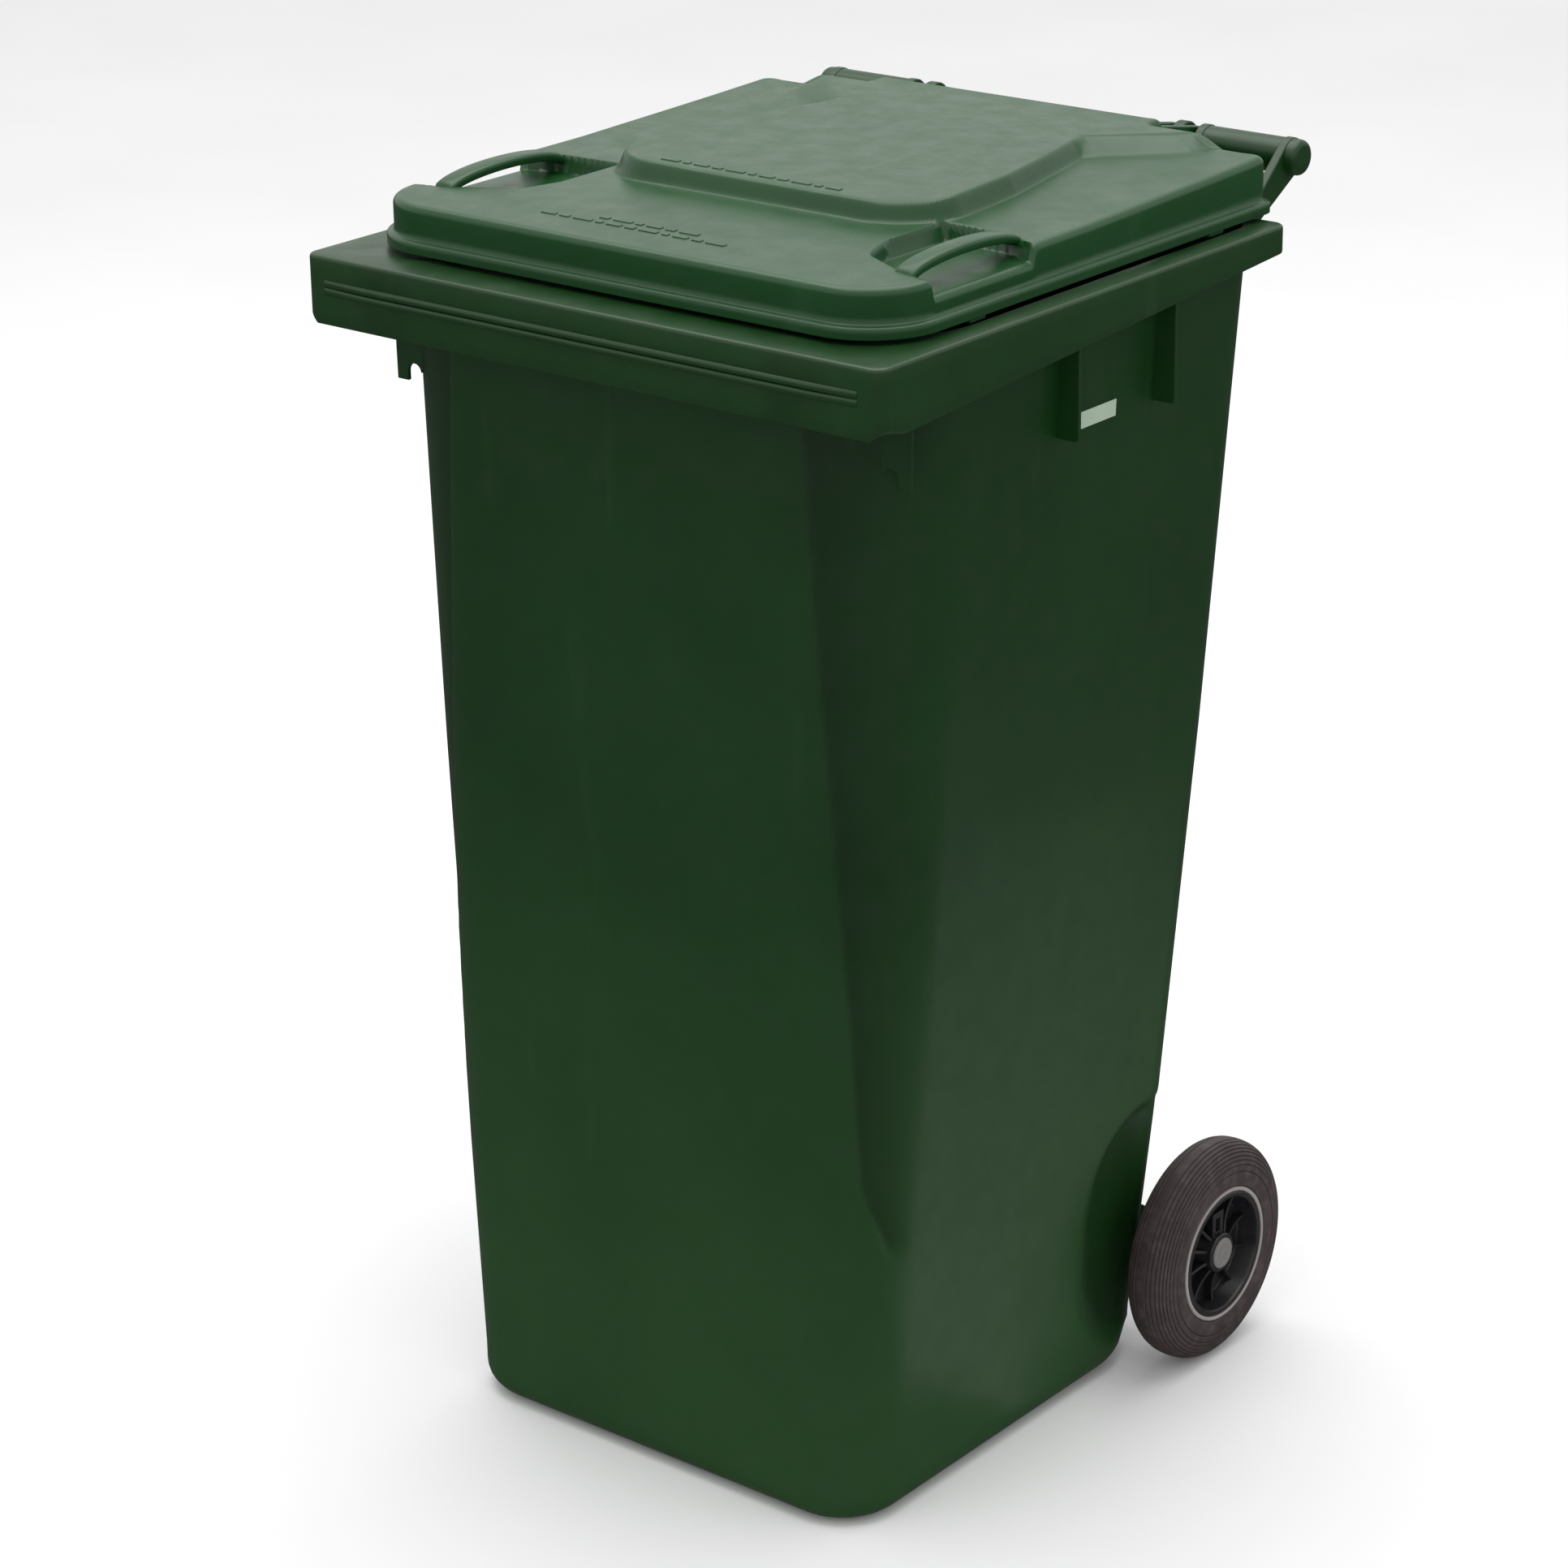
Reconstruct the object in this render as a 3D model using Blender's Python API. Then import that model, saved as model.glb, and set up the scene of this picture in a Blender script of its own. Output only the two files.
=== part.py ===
"""Two-wheeled refuse bin of the 240 litre class: a moulded body with a lifting rim and two
handles, a hinged lid with finger grips, and push-on wheels on a steel axle.

Metres, +Z up. The front faces -Y, the wheels and handles are at +Y, and the origin is on the
ground under the middle of the bin's overall length and width. Lengths called "depth" below
run back from the rim's front edge, and y_at() turns them into Y.
"""

import math

import bmesh
import bpy
from mathutils import Matrix, Vector

# ---- Driving dimensions ----------------------------------------------------------------
OVERALL_LENGTH = 0.641
CORNER_STEPS = 6
ROUND_STEPS = 24
WELD = 0.000005

RIM_HALF_WIDTH = 0.290
RIM_LENGTH = 0.539
RIM_TOP = 1.018
RIM_PLATE = 0.005
RIM_CORNER = 0.012
BAND_WALL = 0.0045
BAND_FRONT_BOTTOM = 0.962
BAND_REAR_BOTTOM = 0.995
RIM_BEVEL = 0.002
BAND_CORNER_CUT = 0.010
BAND_CORNER_RUN = 0.030
BEAD_HEIGHT = 0.993
BEAD_REACH = 0.003
BEAD_HALF_LENGTH = 0.270
BEAD_HALF_BASE = 0.006
BEAD_HALF_CREST = 0.003

BODY_WALL = 0.004
BODY_FLOOR = 0.006
BASE_FILLET = 0.025
BASE_REAR_CUT = 0.036
# Height, half width, front and rear depth, and front and rear corner radius of the body's
# outer skin, from heel to rim. The front corners open out towards the top.
BODY_SECTIONS = (
    (0.040, 0.2200, 0.0490, 0.4745, 0.060, 0.045),
    (0.237, 0.2325, 0.0470, 0.4865, 0.070, 0.040),
    (0.596, 0.2515, 0.0465, 0.5075, 0.085, 0.035),
    (1.013, 0.2700, 0.0460, 0.5280, 0.100, 0.028),
)
SMALLEST_CORNER = 0.006

RECESS_DEPTH = 0.010
RECESS_CENTRE = (0.476, 0.140)
RECESS_RADIUS = 0.113

COMB_RIBS = (0.060, 0.120, 0.180, 0.232)
RIB_WALL = 0.0035
COMB_RIB_FRONT_BOTTOM = 0.974
COMB_RIB_BACK_BOTTOM = 0.950
SIDE_GUSSETS = (0.255, 0.386)
SIDE_GUSSET_BOTTOM = 0.902
SIDE_GUSSET_REACH = 0.2865
CORNER_GUSSET_DEPTH = 0.074
CORNER_GUSSET_REACH = 0.264
CORNER_GUSSET_BOTTOM = 0.903
CORNER_NOTCH_RADIUS = 0.007
CORNER_GUSSET_WIDTH = 0.030
CORNER_HOOK_WIDTH = 0.014
CORNER_NOTCH_HEIGHT = 0.008
CORNER_ROOT_LIFT = 0.012
CORNER_HOOK_LEAN = 0.002

HINGE_DEPTH = 0.622
HINGE_HEIGHT = 1.050
HANDLE_RADIUS = 0.015
HANDLE_INNER = 0.150
HANDLE_OUTER = 0.250
HANDLE_ROUNDING = 0.006
HANDLE_OVERLAP = 0.002
BRACKET_RADIUS = 0.016
BRACKET_FOOT = 0.985
BRACKET_ROOT = 0.950
BRACKET_SHELF = (0.560, 1.0155)
BRACKETS = ((0.150, 0.158), (0.232, 0.240))
LUG = (0.126, 0.136)
EARS = ((0.116, 0.124), (0.138, 0.146))
EAR_RADIUS = 0.013
PIN_RADIUS = 0.005
PIN_HEAD_RADIUS = 0.008
PIN_HEAD = (0.1085, 0.1155)
PIN_CHAMFER = 0.002
PIN_END = 0.170
BORE_END = 0.174
RUNNING_GAP = 0.0003

LID_HALF_WIDTH = 0.262
LID_FRONT = 0.042
LID_REAR = 0.550
LID_FLANGE = 0.006
LID_BOTTOM = 1.022
LID_STEP = 1.033
LID_FRONT_CORNER = 0.057
LID_REAR_CORNER = 0.010
LID_EDGE_FILLET = 0.006
LID_EDGE_BEVEL = 0.002
LID_STEP_RUN = 0.003
LID_SMALLEST_CORNER = 0.004
LID_WALL = 0.0035
# Depth and height of the lid's outer edge, which rises towards the hinge.
LID_EDGE = ((0.0, 1.0590), (0.300, 1.0605), (0.420, 1.0635), (0.475, 1.0650), (0.550, 1.0675))
LID_STOPS = (0.300, 0.420, 0.475)
DOME_FRONT = 0.204
DOME_HALF_WIDTH = 0.169
DOME_CORNER = 0.059
DOME_FOOT = 1.052
DOME_DRAFT = 0.009
# Right edge of the dome behind its front corner, as (x, depth) of its foot and of its top. The
# side closes in, then a wing spreads out towards the hinge.
DOME_SIDE = (
    ((0.163, 0.340), (0.154, 0.340)),
    ((0.151, 0.405), (0.142, 0.405)),
    ((0.141, 0.462), (0.122, 0.484)),
    ((0.213, 0.518), (0.187, 0.545)),
    ((0.213, 0.548), (0.187, 0.548)),
)
DOME_TOP = ((0.0, 1.0745), (0.213, 1.0765), (0.546, 1.0783), (0.570, 1.0790))
NECK_HALF_WIDTH = 0.1465
NECK_FRONT = 0.490
NECK_REAR = 0.570
NECK_BOTTOM = 1.048
NECK_BEVEL = 0.004
NECK_SINK = 0.001
EAR_TOP = (0.548, 1.0765)
EAR_FOOT = (0.554, 1.050)
PAD_SIZE = (0.020, 0.006, 0.0036)
PAD_DEPTHS = (0.150, 0.470)
PAD_OFFSET = 0.001
PAD_OVERLAP = 0.002

GRIP_FLOOR = 1.046
# Right-hand grip pocket seen from above: half width and depth of its corners.
GRIP_OUTLINE = (
    (0.165, 0.168),
    (0.178, 0.132),
    (0.233, 0.104),
    (0.300, 0.090),
    (0.300, 0.205),
    (0.228, 0.240),
    (0.165, 0.243),
)
GRIP_BAR = (0.2225, 0.2415)
GRIP_BAR_FRONT = 0.097
GRIP_BAR_REAR = 0.246
GRIP_BAR_TOP = 1.0705
GRIP_BAR_END = 1.057
GRIP_BAR_WALL = 0.009
GRIP_BAR_BEVEL = 0.003
# How far a pocket's corners move out for each unit of wall, so that its sides move by one.
CORNER_GROWTH = 1.35

AXLE_DEPTH = 0.500
AXLE_HEIGHT = 0.100
AXLE_RADIUS = 0.010
AXLE_END = 0.2715
AXLE_END_TAPER = (0.0005, 0.0015)
AXLE_LUGS = ((0.060, 0.072), (0.188, 0.204))
AXLE_LUG_RADIUS = 0.017
AXLE_LUG_REACH = 0.030
AXLE_LUG_SPAN = (0.060, 0.155)
AXLE_COLLAR = (0.196, 0.224)
AXLE_COLLAR_RADIUS = 0.0155
WASHER = (0.2244, 0.2264)
WASHER_RADIUS = 0.0165

WHEEL_CENTRE = 0.2585
WHEEL_RADIUS = 0.100
WHEEL_HALF_WIDTH = 0.0225
RING_RADIUS = 0.0575
SEAT_DEPTH = 0.0017
LIP_HEIGHT = 0.0018
BARREL_WALL = 0.006
WEB = (-0.0030, 0.0020)
HUB_CHAMFER = 0.001
# The tyre's outer flank, from its bead to the crown, as how far it lies inside the tyre's edge
# and how far above the seat, then how far below the tread.
TYRE_BEAD = ((0.0020, 0.0003), (0.0020, 0.0024), (0.0004, 0.0040))
TYRE_FLANK = (
    (0.0, 0.0240),
    (0.0012, 0.0160),
    (0.0045, 0.0085),
    (0.0095, 0.0030),
    (0.0155, 0.0004),
    (0.0175, 0.0),
)
HUB_BOSS_RADIUS = 0.018
HUB_INNER_END = -0.0318
HUB_OUTER_END = 0.019
CAP_SEAT = 0.014
CAP_RADIUS = 0.014
# The cap's outer face, as (height over the hub's outer end, distance in from the cap's rim).
CAP_CROWN = ((0.0005, 0.0), (0.0020, 0.002), (0.0024, 0.007))
CAP_CLEARANCE = 0.0004
CAP_CHAMFER = 0.001
HUB_RIBS = 10
HUB_RIB_HALF_WALL = 0.0015
# Outer edge of a rib, as (place along the axle, radius), from the boss to the barrel.
HUB_RIB_EDGE = ((0.0145, 0.0150), (0.0100, 0.0535))
HUB_RIB_SINK = -0.001
LATCH_X = 0.006
LATCH_TIP = 0.0079
LATCH_RADIUS = 0.003
LATCH_CHAMFER = 0.0008
COLLAR_RADIUS = 0.0050
COLLAR_LOW = 0.0183
COLLAR_HIGH = 0.0203
STEM_RADIUS = 0.0020
STEM_TOP = 0.0265
CHAMBER_RADIUS = 0.0055
CHAMBER = (0.0180, 0.0340)
TOWER = (0.008, 0.008, 0.038)
WINDOW_HALF_WIDTH = 0.0034
WINDOW = (0.0195, 0.0325)
SPRING_TURNS = 5
SPRING_RADIUS = 0.0039
SPRING_WIRE = 0.0006
GROOVE_RADIUS = 0.0075
GROOVE_HALF_WIDTH = 0.0036

NEST_DEPTH = 0.028
NEST_RADIUS = 0.018
NEST_BORE = 0.0155
NEST_BOTTOM = 0.985
CHIP_RADIUS = 0.015
CHIP = (1.0065, 1.0125)
PLUG = (0.9860, 1.0060)
PLUG_FLOOR = 0.004
PLUG_WALL = 0.003
PLUG_CHAMFER = 0.0015
OVERCUT = 0.010

PLATE_SIZE = (0.0010, 0.050, 0.014)
PLATE_DEPTH = 0.304
PLATE_HEIGHT = 0.909


def y_at(depth):
    """Y of a place that lies this far back from the rim's front edge."""
    return depth + BEAD_REACH - OVERALL_LENGTH / 2


def along(stops, at):
    """Value at one place of a piecewise linear rule given as (place, value) pairs."""
    for (a, low), (b, high) in zip(stops, stops[1:]):
        if at <= b:
            return low + (high - low) * (at - a) / (b - a)
    (a, low), (b, high) = stops[-2:]
    return low + (high - low) * (at - a) / (b - a)


def body_at(height, column):
    """One column of BODY_SECTIONS at any height."""
    return along([(row[0], row[column]) for row in BODY_SECTIONS], height)


def front_wall(x, height):
    """Depth of the body's front wall, which curves back into its corners."""
    corner = body_at(height, 4)
    beyond = max(0.0, abs(x) - body_at(height, 1) + corner)
    return body_at(height, 2) + corner - math.sqrt(corner**2 - beyond**2)


# ---- Materials and objects ---------------------------------------------------------------
def material(name, colour, roughness, metallic=0.0):
    made = bpy.data.materials.new(name)
    made.use_nodes = True
    shader = made.node_tree.nodes["Principled BSDF"]
    shader.inputs["Base Color"].default_value = (*colour, 1.0)
    shader.inputs["Roughness"].default_value = roughness
    shader.inputs["Metallic"].default_value = metallic
    made.diffuse_color = (*colour, 1.0)
    return made


def finish_mesh(bm, name):
    bmesh.ops.recalc_face_normals(bm, faces=bm.faces)
    mesh = bpy.data.meshes.new(name)
    bm.to_mesh(mesh)
    bm.free()
    return mesh


def make_object(name, mesh, finish=None, origin=(0.0, 0.0, 0.0), turn=0.0):
    """Puts a mesh in the scene. Its points are given about origin, turned about Z by turn."""
    made = bpy.data.objects.new(name, mesh)
    bpy.context.scene.collection.objects.link(made)
    made.location = origin
    made.rotation_euler.z = turn
    if finish:
        mesh.materials.clear()
        mesh.materials.append(finish)
    return made


def smooth(mesh, angle=32.0):
    mesh.shade_smooth()
    mesh.set_sharp_from_angle(angle=math.radians(angle))


def dress(made, finish):
    made.data.materials.clear()
    made.data.materials.append(finish)
    smooth(made.data)


def combine(target, other, operation):
    """Joins other to target or cuts it away, and removes other."""
    step = target.modifiers.new(operation.title(), "BOOLEAN")
    step.operation = operation
    step.solver = "EXACT"
    step.object = other
    bpy.context.view_layer.update()
    graph = bpy.context.evaluated_depsgraph_get()
    mesh = bpy.data.meshes.new_from_object(target.evaluated_get(graph))
    target.modifiers.clear()
    bm = bmesh.new()
    bm.from_mesh(mesh)
    bmesh.ops.remove_doubles(bm, verts=bm.verts, dist=WELD)
    bmesh.ops.dissolve_degenerate(bm, edges=bm.edges, dist=WELD)
    bm.to_mesh(mesh)
    bm.free()
    target.data = mesh
    bpy.data.objects.remove(other)


def join_all(target, meshes, operation="UNION"):
    for mesh in meshes:
        combine(target, make_object("tool", mesh), operation)


def move_origin(made, point):
    """Moves an object's origin to a point without moving its shape."""
    made.data.transform(Matrix.Translation(-Vector(point)))
    made.location = point


# ---- Shape makers ------------------------------------------------------------------------
def half_outline(half_width, front, rear, front_corner, rear_corner, stops=()):
    """Right half of a rounded rectangle seen from above, as (x, depth), from front to rear."""
    points = []
    for step in range(CORNER_STEPS + 1):
        turn = math.pi / 2 * step / CORNER_STEPS
        points.append(
            (
                half_width - front_corner + front_corner * math.sin(turn),
                front + front_corner - front_corner * math.cos(turn),
            )
        )
    points += [(half_width, stop) for stop in stops]
    for step in range(CORNER_STEPS + 1):
        turn = math.pi / 2 * step / CORNER_STEPS
        points.append(
            (
                half_width - rear_corner + rear_corner * math.cos(turn),
                rear - rear_corner + rear_corner * math.sin(turn),
            )
        )
    return points


def ring(half, height):
    """Whole outline as 3-D points. height is a number, or a rule of half width and depth."""
    rule = height if callable(height) else lambda x, depth: height
    right = [Vector((x, y_at(depth), rule(x, depth))) for x, depth in half]
    left = [Vector((-p.x, p.y, p.z)) for p in reversed(right)]
    return right + left


def loft(rings, name):
    """Closed skin through rings that share their point count. The ends close with strips
    between mirrored points, which stay flat where height depends on depth alone."""
    bm = bmesh.new()
    levels = [[bm.verts.new(point) for point in each] for each in rings]
    count = len(levels[0])
    for low, high in zip(levels, levels[1:]):
        for i in range(count):
            j = (i + 1) % count
            bm.faces.new((low[i], low[j], high[j], high[i]))
    for level in (levels[0], levels[-1]):
        for i in range(count // 2 - 1):
            bm.faces.new((level[i], level[i + 1], level[count - 2 - i], level[count - 1 - i]))
    return finish_mesh(bm, name)


def slab_x(outline, low, high, name="slab"):
    """Prism between two x values from an outline given as (depth, height) points."""
    bm = bmesh.new()
    faces = []
    for x in (low, high):
        faces.append([bm.verts.new((x, y_at(depth), height)) for depth, height in outline])
    bm.faces.new(reversed(faces[0]))
    bm.faces.new(faces[1])
    for i in range(len(outline)):
        j = (i + 1) % len(outline)
        bm.faces.new((faces[0][i], faces[0][j], faces[1][j], faces[1][i]))
    return finish_mesh(bm, name)


def prism_z(outline, low, high, name="prism"):
    """Prism between two heights from an outline given as (x, depth) points."""
    bm = bmesh.new()
    ends = []
    for height in (low, high):
        ends.append([bm.verts.new((x, y_at(depth), height)) for x, depth in outline])
    bm.faces.new(reversed(ends[0]))
    bm.faces.new(ends[1])
    for i in range(len(outline)):
        j = (i + 1) % len(outline)
        bm.faces.new((ends[0][i], ends[0][j], ends[1][j], ends[1][i]))
    return finish_mesh(bm, name)


def box(low, high):
    bm = bmesh.new()
    bmesh.ops.create_cube(bm, size=1.0)
    size = Vector(high) - Vector(low)
    for vert in bm.verts:
        vert.co = Vector(low) + Vector(size[k] * (vert.co[k] + 0.5) for k in range(3))
    return finish_mesh(bm, "box")


def turned(profile, centre=(0.0, 0.0, 0.0), axis="X", steps=ROUND_STEPS, closed=False):
    """Solid of revolution from (place along the axis, radius) points. A closed profile makes
    a ring, and an open one starts and ends on the axis."""
    bm = bmesh.new()
    rows = []
    for place, radius in profile:
        row = []
        for step in range(steps if radius > 0 else 1):
            turn = 2 * math.pi * (step + 0.5) / steps
            a, b = radius * math.cos(turn), radius * math.sin(turn)
            point = (place, a, b) if axis == "X" else (a, b, place)
            row.append(bm.verts.new(Vector(centre) + Vector(point)))
        rows.append(row)
    pairs = list(zip(rows, rows[1:]))
    if closed:
        pairs.append((rows[-1], rows[0]))
    for low, high in pairs:
        for i in range(steps):
            j = (i + 1) % steps
            corners = [low[i % len(low)], low[j % len(low)], high[j % len(high)], high[i % len(high)]]
            bm.faces.new(dict.fromkeys(corners))
    return finish_mesh(bm, "turned")


def rod(low, high, radius, centre=(0.0, 0.0, 0.0), axis="X", steps=ROUND_STEPS):
    return turned(((low, 0.0), (low, radius), (high, radius), (high, 0.0)), centre, axis, steps)


def teardrop(anchor_top, anchor_low, centre, radius):
    """Outline of a plate that runs from two wall points to a round eye, as (depth, height)."""
    middle = Vector(centre)
    outline = [Vector(anchor_low)]
    angles = []
    for anchor, side in ((anchor_low, -1), (anchor_top, 1)):
        away = Vector(anchor) - middle
        angles.append(math.atan2(away.y, away.x) - side * math.acos(radius / away.length))
    start, end = angles
    while end < start:
        end += 2 * math.pi
    for step in range(ROUND_STEPS // 2 + 1):
        turn = start + (end - start) * step / (ROUND_STEPS // 2)
        outline.append(middle + radius * Vector((math.cos(turn), math.sin(turn))))
    return outline + [Vector(anchor_top)]


# ---- Body --------------------------------------------------------------------------------
def band_bottom(x, depth):
    """The rim's skirt is deepest at the front and is cut up at the front corners."""
    height = BAND_FRONT_BOTTOM + (BAND_REAR_BOTTOM - BAND_FRONT_BOTTOM) * depth / RIM_LENGTH
    corner = max(0.0, x - (RIM_HALF_WIDTH - RIM_CORNER)) / RIM_CORNER
    return height + BAND_CORNER_CUT * corner * max(0.0, 1 - depth / BAND_CORNER_RUN)


def skin_half(height, inset=0.0, rear_cut=0.0):
    """Half outline of the body's skin at a height, drawn in by inset."""
    return half_outline(
        body_at(height, 1) - inset,
        body_at(height, 2) + inset,
        body_at(height, 3) - max(inset, rear_cut),
        max(SMALLEST_CORNER, body_at(height, 4) - inset),
        max(SMALLEST_CORNER, body_at(height, 5) - inset),
    )


def base_rings(offset):
    """Rounded heel of the skin, or of the cavity when offset is the wall."""
    fillet = BASE_FILLET - offset
    floor = BODY_FLOOR if offset else 0.0
    rings = []
    for step in range(4):
        turn = math.pi / 2 * step / 4
        height = floor + fillet * (1 - math.cos(turn))
        inset = offset + fillet * (1 - math.sin(turn))
        cut = offset + BASE_REAR_CUT - height
        rings.append(ring(skin_half(BODY_SECTIONS[0][0], inset, cut), height))
    return rings


def rim_half(inset):
    corner = max(RIM_BEVEL, RIM_CORNER - inset)
    return half_outline(RIM_HALF_WIDTH - inset, inset, RIM_LENGTH - inset, corner, corner)


def outer_body():
    """The body as if it were solid, with the hollow under its rim."""
    rings = base_rings(0.0)
    for row in BODY_SECTIONS:
        height = min(row[0], RIM_TOP - RIM_PLATE)
        rings.append(ring(skin_half(height), height))
    rings.append(ring(rim_half(BAND_WALL), RIM_TOP - RIM_PLATE))
    rings.append(ring(rim_half(BAND_WALL), band_bottom))
    rings.append(ring(rim_half(0.0), band_bottom))
    rings.append(ring(rim_half(0.0), RIM_TOP - RIM_BEVEL))
    rings.append(ring(rim_half(RIM_BEVEL), RIM_TOP))
    return loft(rings, "bin_body")


def cavity():
    """The room inside the walls, carried on above the rim."""
    rings = base_rings(BODY_WALL)
    for row in BODY_SECTIONS:
        rings.append(ring(skin_half(row[0], BODY_WALL), row[0]))
    rings.append(ring(skin_half(BODY_SECTIONS[-1][0], BODY_WALL), RIM_TOP + OVERCUT))
    return loft(rings, "cavity")


def recess(side, margin):
    """Disc that dishes the side wall around the wheel. Its inner face follows the wall."""
    foot, waist = BODY_SECTIONS[0], BODY_SECTIONS[1]
    lean = (waist[1] - foot[1]) / (waist[0] - foot[0])
    bm = bmesh.new()
    rings = []
    radius = RECESS_RADIUS + margin
    for reach in (None, RIM_HALF_WIDTH):
        points = []
        for step in range(2 * ROUND_STEPS):
            turn = math.pi * step / ROUND_STEPS
            depth = RECESS_CENTRE[0] + radius * math.cos(turn)
            height = RECESS_CENTRE[1] + radius * math.sin(turn)
            wall = foot[1] + lean * (height - foot[0]) - RECESS_DEPTH - margin
            points.append(bm.verts.new((side * (reach or wall), y_at(depth), height)))
        rings.append(points)
    bm.faces.new(rings[0])
    bm.faces.new(rings[1])
    for i in range(2 * ROUND_STEPS):
        j = (i + 1) % (2 * ROUND_STEPS)
        bm.faces.new((rings[0][i], rings[0][j], rings[1][j], rings[1][i]))
    return finish_mesh(bm, "recess")


def sided(side, low, high):
    """Two x values on one side of the bin, in rising order."""
    return sorted((side * low, side * high))


def comb_rib(x):
    plate = RIM_TOP - RIM_PLATE / 2
    wall = front_wall(x, COMB_RIB_BACK_BOTTOM) + BODY_WALL / 2
    outline = (
        (BAND_WALL / 2, plate),
        (BAND_WALL / 2, COMB_RIB_FRONT_BOTTOM),
        (wall, COMB_RIB_BACK_BOTTOM),
        (wall, plate),
    )
    return slab_x(outline, x - RIB_WALL / 2, x + RIB_WALL / 2)


def side_gusset(side, depth):
    low, high = sided(side, body_at(SIDE_GUSSET_BOTTOM, 1) - BODY_WALL / 2, SIDE_GUSSET_REACH)
    y = y_at(depth)
    bottom = (low, y - RIB_WALL / 2, SIDE_GUSSET_BOTTOM)
    return box(bottom, (high, y + RIB_WALL / 2, RIM_TOP - RIM_PLATE / 2))


def corner_gusset(side):
    """Hooked tab that hangs under each front corner of the rim."""
    root = CORNER_GUSSET_REACH - CORNER_GUSSET_WIDTH
    mouth = CORNER_GUSSET_REACH - CORNER_HOOK_WIDTH
    plate = RIM_TOP - RIM_PLATE / 2
    outline = [(root, plate), (root, CORNER_GUSSET_BOTTOM + CORNER_ROOT_LIFT)]
    for step in range(7):
        turn = math.pi * (1 - step / 6)
        outline.append(
            (
                mouth - CORNER_NOTCH_RADIUS * (1 - math.cos(turn)),
                CORNER_GUSSET_BOTTOM + CORNER_NOTCH_HEIGHT + CORNER_NOTCH_RADIUS * math.sin(turn),
            )
        )
    outline += [
        (mouth, CORNER_GUSSET_BOTTOM),
        (CORNER_GUSSET_REACH - CORNER_HOOK_LEAN, CORNER_GUSSET_BOTTOM),
        (CORNER_GUSSET_REACH, plate),
    ]
    y = y_at(CORNER_GUSSET_DEPTH)
    bm = bmesh.new()
    near = [bm.verts.new((side * x, y - RIB_WALL / 2, height)) for x, height in outline]
    far = [bm.verts.new((side * x, y + RIB_WALL / 2, height)) for x, height in outline]
    bm.faces.new(near)
    bm.faces.new(reversed(far))
    for i in range(len(outline)):
        j = (i + 1) % len(outline)
        bm.faces.new((near[i], near[j], far[j], far[i]))
    return finish_mesh(bm, "corner_gusset")


def bracket(side, low, high):
    """Plate from under the rim's rear to the hinge line."""
    foot = (RIM_LENGTH, BRACKET_FOOT)
    outline = teardrop(BRACKET_SHELF, foot, (HINGE_DEPTH, HINGE_HEIGHT), BRACKET_RADIUS)
    root = body_at(BRACKET_FOOT, 3) - BODY_WALL / 2
    outline = [Vector((root, BRACKET_ROOT))] + outline + [Vector((root, BRACKET_SHELF[1]))]
    return slab_x(outline, *sided(side, low, high))


def handle(side):
    """Grip bar on the hinge line, with a rounded free end."""
    start, end = HANDLE_INNER + HANDLE_OVERLAP, HANDLE_OUTER
    profile = [(start, 0.0), (start, HANDLE_RADIUS)]
    for step in range(4):
        turn = math.pi / 2 * step / 3
        place = end - HANDLE_ROUNDING * (1 - math.sin(turn))
        profile.append((place, HANDLE_RADIUS - HANDLE_ROUNDING * (1 - math.cos(turn))))
    profile.append((end, 0.0))
    if side < 0:
        profile = [(-place, radius) for place, radius in profile]
    return turned(profile, (0.0, y_at(HINGE_DEPTH), HINGE_HEIGHT))


def axle_lug(side, low, high):
    wall = body_at(AXLE_HEIGHT, 3) - AXLE_LUG_REACH
    foot, top = AXLE_LUG_SPAN
    outline = teardrop((wall, top), (wall, foot), (AXLE_DEPTH, AXLE_HEIGHT), AXLE_LUG_RADIUS)
    return slab_x(outline, *sided(side, low, high))


def bead():
    """Raised horizontal line along the rim's front."""
    outline = (
        (BAND_WALL / 2, BEAD_HEIGHT - BEAD_HALF_BASE),
        (0.0, BEAD_HEIGHT - BEAD_HALF_BASE),
        (-BEAD_REACH, BEAD_HEIGHT - BEAD_HALF_CREST),
        (-BEAD_REACH, BEAD_HEIGHT + BEAD_HALF_CREST),
        (0.0, BEAD_HEIGHT + BEAD_HALF_BASE),
        (BAND_WALL / 2, BEAD_HEIGHT + BEAD_HALF_BASE),
    )
    return slab_x(outline, -BEAD_HALF_LENGTH, BEAD_HALF_LENGTH)


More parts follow.
